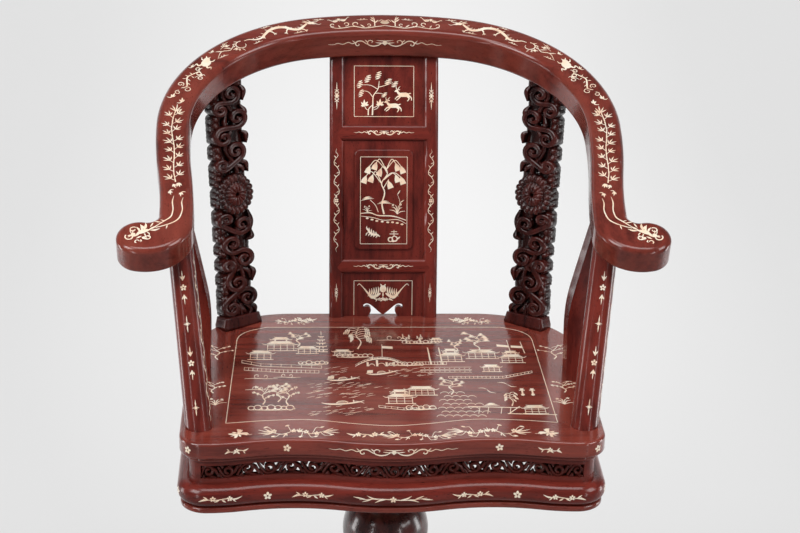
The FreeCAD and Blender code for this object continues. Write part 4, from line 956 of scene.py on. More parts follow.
def rocks(width, rise, seed):
    """A bank of rounded stones drawn as open rings and solid pebbles."""
    chance = np.random.default_rng(seed)
    out, x = [], -width / 2
    while x < width / 2:
        r = chance.uniform(0.55, 1.0) * rise * 0.5
        centre = (x + r, r * chance.uniform(0.7, 1.1))
        ring = curl(centre, r, r * 0.92, chance.uniform(0, 360), 1.0, (0.7, 1.1, 0.7))
        out.append(ring * (1.25, 1.0) - (0.25 * (x + r), 0))
        if chance.random() < 0.5:
            out.append(disc((x + r * 2.2, r * 0.4), r * 0.42, r * 0.3))
        x += r * 2.3
    out.append(ribbon(((-width / 2, -0.3), (0, -0.9), (width / 2, -0.2)), (0.5, 1.2, 0.5)))
    return out


def water(x_limits, y_limits, count, seed):
    """Short slanting ripples strewn over a patch."""
    chance = np.random.default_rng(seed)
    slope = 0.4
    out = []
    for _ in range(count):
        x, y = chance.uniform(*x_limits), chance.uniform(*y_limits)
        w = chance.uniform(2.6, 6.4)
        wide, bend = chance.uniform(0.5, 0.9), chance.uniform(-0.1, 0.1)
        out.append(leaf((x - w, y - w * slope), (x + w, y + w * slope), wide, bend))
    return out


def balustrade(points, height, posts):
    """A fence along a bent line: two rails and even posts."""
    line = np.asarray(points, float)
    length = np.concatenate(([0], np.cumsum(np.linalg.norm(np.diff(line, axis=0), axis=1))))
    at = np.linspace(0, length[-1], posts)
    x, y = np.interp(at, length, line[:, 0]), np.interp(at, length, line[:, 1])
    out = []
    for a, b in zip(line[:-1], line[1:]):
        out += [ribbon((a, b), (1.0, 1.0), 2), ribbon((a + (0, height), b + (0, height)), (0.7, 0.7), 2)]
    out += [bar(px - 0.35, px + 0.35, py + 0.4, py + height + 0.9) for px, py in zip(x, y)]
    return out


def deer(size):
    """A leaping horned beast facing left: thick body and neck, legs thrown fore and aft."""
    body = [ribbon(((-6.5, 1.4), (-2.5, 0.8), (2, 1.0), (6.2, 0.2)), (4.0, 5.4, 5.6, 4.4), 10),
            ribbon(((-5.8, 2.0), (-7.6, 4.0), (-8.4, 6.0)), (3.4, 2.6, 2.2), 6)]
    horns = [ribbon(((-8.4, 7.2), (-9.8, 9.6), (-9.6, 12)), (1.0, 0.8, 0.4), 6),
             ribbon(((-7.6, 7.2), (-6.6, 9.6), (-4.6, 11.4)), (1.0, 0.8, 0.4), 6)]
    head = leaves((-7.4, 6.8, -12, 4.8, 2.8))
    ear_and_tail = leaves((-7.4, 7, -4.6, 7.6, 1.2), (5.6, 1.8, 9.4, 3.0, 1.6))
    legs = [ribbon(((-5.4, -0.6), (-9.0, -2.2), (-11.4, -5.0)), (2.2, 1.4, 0.9)),
            ribbon(((-4.2, -1.0), (-6.6, -4.0), (-9.6, -6.2)), (2.0, 1.3, 0.9)),
            ribbon(((4.6, -0.8), (6.6, -4.0), (4.6, -7.2)), (3.0, 1.5, 0.9)),
            ribbon(((5.6, -0.2), (9.2, -2.6), (9.8, -6.4)), (2.6, 1.4, 0.9))]
    return placed(body + head + horns + ear_and_tail + legs, size=size)


def fan_palm(height):
    """A bending stem whose thin arching twigs let broad wedge-shaped leaves hang.

    The stem is a line of shares of the height. Each twig is its root's height, the
    top of its arch and its end, again as shares, and a leaf hangs from the end.
    """
    stem = np.array(((0.02, 0), (-0.02, 0.2), (0.03, 0.42), (-0.03, 0.6), (0.08, 0.78), (0.04, 0.92)))
    out = [ribbon(stem * height, (2.4, 2.0, 1.8, 1.5, 1.2, 0.8), 24)]
    for root_y, arch_x, arch_y, x, y in ((0.84, -0.06, 1.06, -0.13, 1.0), (0.84, -0.13, 1.04, -0.26, 0.93),
                                         (0.86, 0.16, 1.06, 0.24, 0.98), (0.86, 0.22, 1.04, 0.34, 0.93),
                                         (0.6, -0.14, 0.82, -0.20, 0.76), (0.58, -0.22, 0.82, -0.33, 0.74),
                                         (0.7, 0.16, 0.80, 0.24, 0.76), (0.66, 0.2, 0.80, 0.34, 0.72),
                                         (0.8, 0.0, 0.92, -0.04, 0.88), (0.5, 0.1, 0.66, 0.10, 0.64)):
        root_x = np.interp(root_y, (0.0, 0.42, 0.6, 0.78, 0.92), (0.02, 0.03, -0.03, 0.08, 0.04))
        lean = 0.05 if x > 0 else -0.05
        twig_line = np.array(((root_x, root_y), (arch_x, arch_y), (x, y)))
        leaf_line = np.array(((x, y), (x + lean / 2, y - 0.07), (x + lean, y - 0.14)))
        out.append(ribbon(twig_line * height, (1.2, 1.1, 1.0), 9))
        out.append(ribbon(leaf_line * height, (1.4, 0.10 * height, 0.115 * height), 6))
    return out


def striped_leaves(size):
    """A head of foliage: four short slanted leaves laid one above the other with gaps."""
    out = []
    for k, half in enumerate((3.2, 4.4, 4.2, 3.0)):
        x, y = 0.7 * k, 2.7 * k
        out.append(ribbon(((x - half, y - 0.9), (x, y - 0.1), (x + half, y + 1.1)), (0.7, 2.0, 0.7), 5))
    return placed(out, size=size)


def stone_shrub(size):
    """A little tray landscape: a pitted stone with a stepped table above it."""
    stone = curls((-3, 2.6, 2.6, 2.2, 0, 1, (1.0, 1.4, 1.0)), (2, 3.6, 3.2, 2.6, 90, 1, (1.0, 1.5, 1.0)))
    table = [disc((0, 0.6), 1.6, 1.0), bar(-4, 6, 8.6, 9.4), bar(-2.4, 4.4, 11.2, 11.9),
             ribbon(((1, 7.0), (1, 13.4)), (0.8, 0.6), 3)]
    return placed(stone + table + leaves((5, 3, 8, 6, 1.6)), size=size)


def feather_fish(size):
    """A long-tailed water creature: a bent body with plumes along its back."""
    out = [ribbon(((-9, 6), (-6, 2.5), (-1, 0.6), (4, 1.6), (8, 0.4)), (0.6, 2.4, 3.0, 2.4, 0.8), 12)]
    for k in range(5):
        x = -8 + 3.0 * k
        out.append(leaf((x, 3.4 - 0.5 * k), (x - 2.4, 8.2 - 0.9 * k), 1.5, 0.1))
        out.append(leaf((x + 1.2, 1.6 - 0.3 * k), (x - 0.4, -3.2 + 0.2 * k), 1.3, -0.1))
    return placed(out, size=size)


# Where drawings go: each takes arrays across, up and lift (metres) and gives points

ARC_STEPS, OUTLINE_STEPS = 400, 6000


def arc_points(centre, radius, start_deg, end_deg):
    """Points round an arc: centre + radius (cos a, sin a)."""
    a = np.radians(np.linspace(start_deg, end_deg, ARC_STEPS))
    return np.stack((centre[0] + radius * np.cos(a), centre[1] + radius * np.sin(a)), 1)


def seat_edge_line():
    """The seat's edge from the middle of the front, anticlockwise seen from above.

    The front is a chain of equal arcs of radius (a^2 + b^2) / 2b with a a quarter
    of the pitch and b half the depth, then a tighter arc to the corner.
    """
    a, b = WAVE_PITCH / 4, WAVE_DEPTH / 2
    radius = (a * a + b * b) / (2 * b)
    swing = math.degrees(math.asin(a / radius))
    first = arc_points((0, -SEAT_FRONT - b + radius), radius, -90, -90 + swing)
    second = arc_points((2 * a, -SEAT_FRONT + b - radius), radius, 90 + swing, 90 - swing)
    corner_x = HALF_SEAT - FRONT_CORNER
    lobe = (corner_x - 3 * a) / math.sin(math.radians(swing))
    lobe_y = -SEAT_FRONT + lobe * math.cos(math.radians(swing))
    third = arc_points((corner_x, lobe_y), lobe, -90 - swing, -90)
    corner = arc_points((corner_x, lobe_y - lobe + FRONT_CORNER), FRONT_CORNER, -90, 0)
    back_y = SEAT_BACK - BACK_CORNER
    back = arc_points((HALF_SEAT - BACK_CORNER, back_y), BACK_CORNER, 0, 90)
    half = np.vstack((first, second, third, corner, back, ((0, SEAT_BACK),)))
    return np.vstack((half, (half * (-1, 1))[::-1][1:]))


def along_line(points):
    """A line stepped evenly along its length: distances, x and y, and the two parts of its unit tangent."""
    length = np.concatenate(([0], np.cumsum(np.linalg.norm(np.diff(points, axis=0), axis=1))))
    even = np.linspace(0, length[-1], OUTLINE_STEPS)
    x, y = np.interp(even, length, points[:, 0]), np.interp(even, length, points[:, 1])
    tx, ty = np.gradient(x, even), np.gradient(y, even)
    size = np.hypot(tx, ty)
    return even, x, y, tx / size, ty / size


edge_s, edge_x, edge_y, edge_tx, edge_ty = along_line(seat_edge_line())
EDGE_LENGTH = edge_s[-1]


def edge_frame(s):
    """Point and outward normal of the seat's edge at a distance along it."""
    s = np.mod(s, EDGE_LENGTH)
    x, y = np.interp(s, edge_s, edge_x), np.interp(s, edge_s, edge_y)
    return x, y, np.interp(s, edge_s, edge_ty), -np.interp(s, edge_s, edge_tx)


def on_seat(u, v, lift):
    """The flat top of the seat."""
    return np.stack((u, v, SEAT_TOP + lift), -1)


def on_seat_edge(u, v, lift):
    """The upright edge of the seat: v is height above the middle of the edge."""
    x, y, nx, ny = edge_frame(u)
    return np.stack((x + nx * lift, y + ny * lift, v + SEAT_TOP - SEAT_HALF_THICKNESS), -1)


def on_apron(u, v, lift):
    """The rounded apron: v runs up over its bulge, a narrow flat between quarter rounds."""
    flat = APRON_HALF_FLAT
    beyond = np.maximum(np.abs(v) - flat, 0) / APRON_ROUND
    outward = APRON_OVERHANG - APRON_ROUND * (1 - np.cos(beyond)) + lift * np.cos(beyond)
    x, y, nx, ny = edge_frame(u)
    z = APRON_LEVEL + np.sign(v) * (np.minimum(np.abs(v), flat) + (APRON_ROUND + lift) * np.sin(beyond))
    return np.stack((x + nx * outward, y + ny * outward, z), -1)


SIN_RAIL, COS_RAIL = math.sin(RAIL_SLOPE), math.cos(RAIL_SLOPE)


def in_rail_plane(x, v, lift):
    """A point of the rail's sloping top: v runs up the slope, lift along its normal."""
    return np.stack((x, v * COS_RAIL - lift * SIN_RAIL, RAIL_LEVEL + v * SIN_RAIL + lift * COS_RAIL), -1)


def rail_centre_line():
    """The middle of the rail's top, from the crest round the right shoulder to the hand."""
    turn = math.degrees(CREST_HALF_ANGLE)
    crest_y = CREST_REACH - CREST_RADIUS
    gap = CREST_RADIUS - SHOULDER_RADIUS
    shoulder = (gap * math.sin(CREST_HALF_ANGLE), crest_y + gap * math.cos(CREST_HALF_ANGLE))
    half = RAIL_WIDTH / 2
    crest = arc_points((0, crest_y), CREST_RADIUS - half, 90, 90 - turn)
    bend = arc_points(shoulder, SHOULDER_RADIUS - half, 90 - turn, 0)
    end = np.array((ARM_OUTER_X - ARM_WIDTH / 2, ARM_END_V))
    t = np.linspace(0, 1, 200)[1:, None]
    ease = t * t * (3 - 2 * t)
    arm = np.hstack((bend[-1, 0] + (end[0] - bend[-1, 0]) * ease, bend[-1, 1] + (end[1] - bend[-1, 1]) * t))
    t = np.linspace(0, 1, 60)[1:, None]
    hand = end + (np.array((HAND_X, HAND_V)) - end) * np.hstack((t ** 2, t))
    return np.vstack((crest, bend, arm, hand))


rail_s, rail_x, rail_v, rail_tx, rail_tv = along_line(rail_centre_line())


def on_rail(side):
    """The rail's top, bent down over its round edges: u runs from the crest to a hand, v outwards."""
    def place(u, v, lift):
        s = np.abs(u)
        tx, ty = np.interp(s, rail_s, rail_tx), np.interp(s, rail_s, rail_tv)
        past = np.maximum(s - rail_s[-1], 0)
        x = np.interp(s, rail_s, rail_x) + past * tx
        y = np.interp(s, rail_s, rail_v) + past * ty
        way = side * np.where(u < 0, -1, 1)
        flat = RAIL_WIDTH / 2 - RAIL_ROUND
        beyond = np.clip((np.abs(v) - flat) / RAIL_ROUND, 0, 1.5)
        v = np.sign(v) * (np.minimum(np.abs(v), flat) + (RAIL_ROUND + lift) * np.sin(beyond))
        lift = (RAIL_ROUND + lift) * np.cos(beyond) - RAIL_ROUND
        return in_rail_plane(way * (x - v * ty), y + v * tx, lift)
    return place


def on_crest_face(u, v, lift):
    """The inner face of the crest, seen from the front: v is minus the depth under the top."""
    radius = CREST_RADIUS - RAIL_WIDTH
    turn = u / radius
    reach = radius - lift
    return in_rail_plane(reach * np.sin(turn), CREST_REACH - CREST_RADIUS + reach * np.cos(turn), v)


def on_splat(depth):
    """The splat at a depth behind its front: arcs about one far centre behind the chair."""
    foot = np.array((SPLAT_FOOT_Y, SEAT_TOP))
    top = np.array((SPLAT_TOP_Y, SEAT_TOP + SPLAT_TOP_HEIGHT))
    chord = top - foot
    length = np.linalg.norm(chord)
    radius = length ** 2 / (8 * SPLAT_SAGITTA) + SPLAT_SAGITTA / 2
    back = np.array((chord[1], -chord[0])) / length
    centre = (foot + top) / 2 + back * (radius - SPLAT_SAGITTA)
    start = math.atan2(foot[1] - centre[1], foot[0] - centre[0])

    def place(u, v, lift):
        angle = start - v / radius
        out = radius - depth + lift
        return np.stack((u, centre[0] + out * np.cos(angle), centre[1] + out * np.sin(angle)), -1)
    return place


def on_front_post(side):
    """The round front post: u is the distance round from straight ahead, v up its axis."""
    foot = FRONT_POST_FOOT
    axis = FRONT_POST_TOP - foot
    length = np.linalg.norm(axis)
    axis /= length
    ahead = np.array((0, -1.0, 0)) + axis[1] * axis
    ahead /= np.linalg.norm(ahead)
    right = np.cross(axis, ahead)

    def place(u, v, lift):
        radius = FRONT_POST_RADIUS - v / length * FRONT_POST_TAPER
        turn = u * side / radius
        outward = np.cos(turn)[..., None] * ahead + np.sin(turn)[..., None] * right
        point = foot + v[..., None] * axis + (radius + lift)[..., None] * outward
        return point * (side, 1, 1)
    return place


# Neighbouring plates differ a hair in height, so that no two faces lie in one plane
SHELL_LIFT, SHELL_DEPTH, SHELL_STEP, SHELL_STEPS = 0.12 * MM, 0.5 * MM, 0.006 * MM, 8


def turned_over(place, u, v):
    """True if a place function mirrors its drawings, so that their faces must be turned back."""
    step = MM
    u, v = np.array((u, u + step, u, u)), np.array((v, v, v + step, v))
    p = place(u, v, np.array((0, 0, 0, step)))
    return np.linalg.det(p[1:] - p[0]) < 0


def inlay(name, drawings):
    """One piece of closed thin plates: each drawing is (strips in mm, place function).

    Each strip gives a ring of four points, left and right, top and bottom, at each
    step of its line. Four sides join the rings, and a face closes each end.
    """
    points, quads, start = [], [], 0
    for strips, place in drawings:
        for n in sorted({len(strip) for strip in strips}):
            group = np.stack([strip for strip in strips if len(strip) == n]) * MM
            step = (np.arange(len(group)) % SHELL_STEPS)[:, None, None] * SHELL_STEP
            u, v = group[..., 0], group[..., 1]
            level = np.broadcast_to(step, u.shape)
            top = place(u, v, SHELL_LIFT + level)
            bottom = place(u, v, level * 0 - SHELL_DEPTH)
            both_levels = np.stack((top, bottom), axis=3)
            index = start + np.arange(both_levels.size // 3).reshape(-1, n, 2, 2)
            if turned_over(place, u.flat[0], v.flat[0]):
                index = index[:, :, ::-1]
            ring = np.stack((index[:, :, 1, 0], index[:, :, 0, 0], index[:, :, 0, 1], index[:, :, 1, 1]), -1)
            a, b = ring[:, :-1], ring[:, 1:]
            for p, q in ((0, 1), (2, 3), (1, 2), (3, 0)):
                quads.append(np.stack((a[..., p], b[..., p], b[..., q], a[..., q]), -1).reshape(-1, 4))
            quads += [ring[:, 0, (1, 2, 3, 0)], ring[:, -1, (0, 3, 2, 1)]]
            points.append(both_levels.reshape(-1, 3))
            start += index.size
    mesh_piece(name, np.vstack(points), np.vstack(quads), shell, smooth=False)


def seat_landscape():
    """A river landscape inside the seat's border line: halls, trees, bridges and boats."""
    tall = 1.75
    out = []

    def put(strips, x, y, wide=1.0, high=tall):
        """Add a drawing, scaled across and up, at a place."""
        out.extend(placed(stretched(strips, wide, high), (x, y)))

    put(pavilion(34, 24), -178, 52)
    put(pavilion(44, 26, tiers=2, posts=5), -150, 82)
    put(pavilion(30, 20), -112, 72)
    put(spreading_tree(30, seed=11, pads=6), -126, 96)
    put(pagoda(42), -92, 78, 0.85)
    out += balustrade(((-200, 16), (-150, 8), (-96, 6)), 9, 18)
    put(balustrade(((-204, 24), (-176, 14), (-120, 10), (-92, 8)), 7, 9), 0, 12, 1.0, 1.2)
    put(rocks(40, 7, seed=12), -104, 36)
    put(cloud(46), -176, -12)
    put(cloud(38), -140, -8)
    put(willow(46, seed=13, fronds=11), -40, 88, 1.15)
    put(pavilion(26, 15), -62, 66)
    put(rocks(44, 8, seed=14), -48, 60)
    put(arch_bridge(74, 15), -8, 28)
    out.append(ribbon(((-6, 60), (-5, 104)), (1.0, 0.7), 2))
    out.append(plate((-5, 90), (10, 88), (10, 96), (-5, 98)))
    put(placed([disc((0, 3.2), 1.0), leaf((0, 0), (0, 3), 1.8)]), -20, 52)
    put(cloud(52), 14, 118)
    put(spreading_tree(14, seed=15, pads=4), 30, 110)
    put(spreading_tree(12, seed=16, pads=3), 50, 112)
    put(pavilion(16, 11), 74, 112)
    put(rocks(50, 6, seed=17), 50, 108)
    put(boat(46, lean=6), -62, -16)
    put(boat(44, lean=8), -8, 4)
    put(boat(58, lean=4, sail=False), -64, -92)
    out += water((-110, -2), (-46, -24), 30, seed=18) + water((-112, -20), (-74, -46), 30, seed=19)
    out += water((-110, -16), (-128, -98), 30, seed=20) + water((4, 60), (-8, 22), 22, seed=21)
    out += water((-100, -60), (-2, 26), 12, seed=22)
    put(plum_tree(34, seed=23), -172, -94)
    put(plum_tree(36, seed=24, lean=-1.0), -138, -96)
    put(spreading_tree(34, seed=25, pads=7), -152, -86)
    put(rocks(58, 9, seed=26), -162, -110)
    put(cloud(34), -180, -48)
    put(pavilion(38, 24, tiers=2), 14, -92)
    put(pavilion(40, 22, posts=5), 44, -66)
    out += balustrade(((-16, -104), (18, -112), (60, -108)), 6, 10)
    put(rocks(34, 8, seed=27), 38, -110)
    put(pavilion(34, 24, tiers=2), 92, 44)
    put(pavilion(44, 24, posts=5), 136, 54)
    put(pavilion(34, 22, tiers=2), 178, 40)
    put(pavilion(26, 18), 146, 10)
    put(spreading_tree(40, seed=28, pads=8), 130, 76)
    put(spreading_tree(24, seed=29, pads=5), 100, 78)
    for x in (62, 78):
        out.append(ribbon(((x, 34), (x - 2, 92)), (2.2, 1.6), 2))
    put(balustrade(((38, 26), (84, 26)), 7, 12), 0, 0, 1.0, 1.3)
    put(rocks(46, 7, seed=30), 26, 32)
    for low, high in ((16, 25), (8, 15)):
        out += [ribbon(((46, y), (118, y)), (0.8, 0.8), 2) for y in (low, high)]
        out += [disc((52 + 7 * k, (low + high) / 2), 0.8) for k in range(10)]
    out += balustrade(((84, -12), (160, -12), (202, 6)), 6, 22)
    for pole, flag in ((((178, 70), (176, 118)), ((160, 96), (177, 92), (177, 99), (160, 103))),
                       (((198, 72), (195, 112)), ((180, 92), (196, 90), (196, 97), (180, 99)))):
        out += [ribbon(pole, (1.2, 0.9), 2), plate(*flag)]
    for row in range(7):
        for k in range(6 - row // 2):
            x, y = 66 + 11 * k + (5.5 if row % 2 else 0) + row * 1.5, -134 + 12 * row
            out.append(curl((x, y), 5.6, 5.6, 5, 0.47, (0.5, 1.1, 0.5)) * (1.0, 1.15) - (0, 0.15 * y))
    put(spreading_tree(32, seed=31, pads=6), 84, -64)
    out += leaves((150, -26, 164, -33, 1.6, 0.2), (164, -33, 176, -40, 1.6, -0.2),
                  (122, -44, 134, -48, 1.6, 0.2), (134, -48, 146, -60, 1.6, -0.2))
    for x in (182, 196):
        out += placed(stretched(roof(7, 5) + [bar(-1.2, 1.2, -9, 0), disc((0, -10), 2.6)], 1, 1.3), (x, -52))
    out += [ribbon(((104, -102), (174, -106)), (1.8, 2.0, 1.6), 3),
            ribbon(((174, -102), (158, -124)), (1.6, 1.6), 2),
            ribbon(((156, -124), (222, -128)), (1.8, 2.0, 1.6), 3)]
    for x in (120, 132, 150, 162):
        out.append(ribbon(((x, -104), (x - 3, -124)), (0.8, 0.8), 2))
    put(placed(pad_of_leaves(22, 3)), 136, -100)
    put(willow(26, seed=32, fronds=7), 164, -100)
    put(pavilion(32, 20), 194, -124)
    return out


def seat_border():
    """The line round the landscape, wavy at the front and clipped at the back corners."""
    left = [(-220, -151), (-165, -143), (-108, -141), (-50, -153)]
    front = left + [(0, -159.6)] + [(-x, y) for x, y in reversed(left)]
    corner = [(213, 121), (209, 136), (196, 152), (171, 165)]
    border = (BORDER_LINE, BORDER_LINE)
    return [ribbon(front, border, 49), ribbon(((-220, -151), (-213, 121)), border, 5),
            ribbon(((220, -151), (213, 121)), border, 5), ribbon(corner, border, 13),
            placed([ribbon(corner, border, 13)], flip=True)[0], ribbon(((-171, 165), (171, 165)), border, 5)]


def seat_margins():
    """Flowers outside the border: sprays at the front and sides, butterflies at the corners."""
    insect = butterfly(1.5) + leaves((0, -8, 1, 5, 3.4))
    insect += [ribbon(((1, 5), (6, 9), (11, 8), (13, 11)), (0.6, 0.7, 0.7, 0.3), 10)]
    insect += leaves((2, 1, 9, -1, 2.6), (-2, 1, -9, -1, 2.6), (2, -3, 7, -8, 1.2))
    insect = placed(stretched(insect, 1, 1.35), turn=-50)
    out = placed(insect, (-204, -183)) + placed(insect, (206, -183), flip=True)
    spray = [ribbon(((-40, 3), (-20, -4), (0, 4), (20, -3), (40, 4)), (0.4, 1.0, 1.0, 1.0, 0.4), 22)]
    for x, y, end_x, end_y in ((-30, 0, -44, 9), (-22, -3, -34, -9), (-8, 2, -16, 12), (8, 2, 2, -9),
                               (20, -3, 30, 9), (30, 1, 42, -6), (14, 0, 22, -9)):
        spray.append(ribbon(((x, y), ((x + end_x) / 2, end_y), (end_x, end_y)), (0.9, 0.7, 0.3), 7))
        spray.append(leaf((end_x, end_y), (end_x + 6, end_y + 2), 2.4))
    for spot in ((-30, 2), (-4, 3), (12, 1), (26, -2)):
        spray += placed(blossom(3.6), spot)
    spray += leaf_fan((-30, 0), 176, 24, 4, 1.5, 50) + leaf_fan((34, 0), 4, 24, 4, 1.5, 50)
    spray += leaf_fan((2, 0), 60, 10, 4, 1.6, 90) + leaf_fan((-14, -2), 240, 9, 3, 1.6, 80)
    out += placed(stretched(spray, 1.0, 1.5), (-126, -178))
    out += placed(stretched(spray, 1.05, 1.5), (128, -178), flip=True)
    out += placed(stretched(spray, 0.9, 1.2), (32, -190))
    out += placed(stretched(twig(42), 1.3, 2.2), (-34, -186))
    for side in (1, -1):
        out += placed(stretched(twig(34), 1.1, 2.4), (side * 116, 192), flip=side < 0)
        out += placed(stretched(spray, 0.5, 1.1), (side * 132, 186), flip=side < 0)
        out += placed(plum_tree(50, seed=33), (side * 238, 52), flip=side < 0)
        out += placed(plum_tree(38, seed=34), (side * 240, -58), flip=side < 0)
        out += placed(orchid(1.2), (side * 236, -96), flip=side < 0)
    return out


def crest_middle():
    """From the middle of the crest: a low scroll with curls and leaves, under a bat between clouds."""
    out = [ribbon(((0, -9), (14, -12), (30, -14.5), (46, -10), (58, -12), (70, -13), (80, -9)),
                  (0.8, 1.4, 1.4, 1.2, 1.2, 0.8), 30)]
    out += curls((42, -4, 6.5, 1.6, -100, 0.9, (1.2, 1.4, 0.9)),
                 (57, -3, 5.5, 1.4, -80, -0.85, (1.2, 1.3, 0.8)),
                 (76, -4, 5.0, 1.2, -100, 0.8, (1.2, 1.2, 0.8)),
                 (24, -7, 4.2, 1.2, -70, -0.8, (1.0, 1.2, 0.8)))
    out += leaves((30, -13, 36, -6, 2.0), (66, -12, 68, -5, 1.8))
    out += [disc((0, -1), 6.5, 4.2), ribbon(((0, 1), (5, 5), (9, 1)), (1.2, 1.0, 0.6)),
            ribbon(((15, -10), (15, 6), (17, 13)), (1.6, 1.1, 0.5))]
    out += leaves((15, 0, 21, 7, 2.2), (15, -3, 9, 5, 2.0), (15.5, 5, 20, 12, 1.8))
    return out + placed(bat(32), (66, 8), turn=-8) + placed(cloud(16), (32, 6)) + placed(cloud(14), (94, 11))


def crest_arm():
    """Down the arm: a dragon among clouds, a toad with its coins, and a curled creature behind it."""
    out = placed(dragon(106), (104, -1))
    for width, x, y, turn in ((18, 128, -14, 0), (14, 170, 14, 0), (16, 196, -13, 0), (20, 240, 10, -20),
                              (16, 258, -8, 15)):
        out += placed(cloud(width), (x, y), turn=turn)
    out += [ribbon(((226, 4), (240, -4), (252, 2), (268, -6)), (0.6, 1.2, 1.2, 0.4))]
    out += leaves((236, -2, 244, 6, 1.6), (250, 1, 258, 8, 1.6))
    out += placed(toad(1.6), (286, 1), turn=-12)
    out += [ribbon(((306, -2), (316, 2), (326, 6), (336, 2), (346, -2), (352, 4)),
                   (0.8, 1.6, 2.0, 2.2, 2.0, 0.8), 18)]
    out += curls((352, -5, 6.0, 2.0, 100, 1.2, (1.2, 1.2, 0.6)),
                 (344, 8, 5.0, 1.5, -60, -1.2, (1.2, 1.2, 0.6)),
                 (362, 5, 4.5, 1.5, 180, -1.1, (1.1, 1.1, 0.6)))
    for x, y, dx, dy in ((318, 3, -2, 5), (324, 5, 0, 6), (330, 6, 2, 5), (322, 2, 2, -5), (330, 3, 3, -5),
                         (338, 0, 3, -5)):
        out.append(leaf((x, y), (x + dx, y + dy), 1.2))
    for x, y, turn, size in ((230, -9, -60, 1.2), (240, 8, 110, 1.2), (262, 11, 60, 1.0), (304, 12, 70, 1.1),
                             (312, -10, -70, 1.0), (374, 10, 100, 1.5), (382, -6, 80, 1.6),
                             (574, 8, -100, 1.3), (578, -7, -80, 1.3)):
        out += placed(tuft(size), (x, y), turn=turn)
    return out


def crest_hand():
    """From the arm to the hand: bamboo, two waving tails, and a bird among curls and leaves."""
    out = placed(bamboo(152, seed=41), (556, 0), turn=90)
    out += leaf_fan((560, 3), -20, 9, 3, 2.0, 60) + leaf_fan((558, -5), 12, 10, 4, 2.2, 80)
    for line in (((588, -9), (598, -7), (612, -8), (628, -5), (644, -1), (660, 2)),
                 ((584, 3), (596, 5), (612, 4), (628, 6), (644, 7), (660, 4))):
        out.append(ribbon(line, (0.3, 1.6, 1.4, 1.8, 1.6, 1.2), 30))
    out += leaves((648, 7, 656, 14, 1.8), (642, 6, 646, 12, 1.4), (644, -1, 650, -7, 1.6))
    out += placed(long_tailed_bird(1.5), (678, 0), turn=-14)
    out += curls((697, -2, 6.0, 2.6, 60, -1.0, (1.6, 1.8, 1.2)),
                 (688, 10, 5.0, 2.2, 150, -0.9, (1.4, 1.6, 1.0)),
                 (690, -14, 5.0, 2.0, 160, 1.1, (1.6, 1.7, 1.0)),
                 (676, -11, 4.5, 1.6, 0, -1.1, (1.4, 1.5, 0.8)))
    out += leaves((682, -6, 690, -8, 2.4), (666, 6, 658, 12, 2.0), (684, -2, 694, -3, 2.4))
    return out + leaf_fan((674, 5), 100, 9, 4, 1.8, 70) + leaf_fan((682, -8), 230, 8, 3, 1.8, 60)


def crest_half():
    """Half of the rail's top ornament, from the middle of the crest to one hand."""
    return crest_middle() + crest_arm() + crest_hand()


def frame_lines(half_w, low, high):
    """The thin line round a picture: its foot, right side, head and left side."""
    corners = ((-half_w, low), (half_w, low), (half_w, high), (-half_w, high))
    return [ribbon((corners[k], corners[(k + 1) % 4]), (FRAME_LINE, FRAME_LINE), 16) for k in range(4)]


def splat_top_picture():
    """A tree in leaf over two deer, in a square frame of line."""
    half_w, low, high = 43.5, 298, 372
    tree = [ribbon(((0, 0), (0.6, 14), (1.4, 28), (8, 38), (10, 50)), (2.0, 1.8, 1.4, 1.1, 0.8), 18),
            ribbon(((-6, 0), (-5.4, 9), (0.4, 15)), (1.8, 1.4, 0.9), 7)]
    for line, widths in ((((1, 26), (-6, 34), (-16, 36)), (1.2, 0.9, 0.5)),
                         (((8, 38), (-4, 44), (-20, 44)), (1.1, 0.8, 0.5)),
                         (((9, 41), (20, 44), (30, 48)), (1.1, 0.8, 0.5)),
                         (((3, 32), (12, 32), (19, 29)), (1.0, 0.8, 0.4))):
        tree.append(ribbon(line, widths, 8))
    tree.append(ribbon(((0, 10), (8, 14), (10, 18)), (0.9, 0.6), 6))
    for x, y, size, turn in ((-19, 41, 1.0, 6), (-8, 49, 1.05, -2), (8, 54, 1.05, 4), (21, 46, 0.95, -20),
                             (31, 42, 0.9, -14), (-17, 28, 0.95, 8), (16, 27, 0.75, -14)):
        tree += placed(striped_leaves(size), (x, y), turn=turn)
    tree += leaf_fan((-11, 14), 95, 9, 5, 3.0, 170) + leaf_fan((11, 15), 85, 9, 5, 3.0, 170)
    tree += [ribbon(((-12, 15), (-9, 9), (-5, 7)), (1.2, 0.9, 0.7), 6),
             ribbon(((11, 16), (7, 10), (2, 8)), (1.2, 0.9, 0.7), 6)]
    out = frame_lines(half_w, low, high) + placed(tree, (-17, low + 2))
    return out + placed(deer(1.15), (14, low + 15)) + placed(deer(1.15), (29, low + 31))


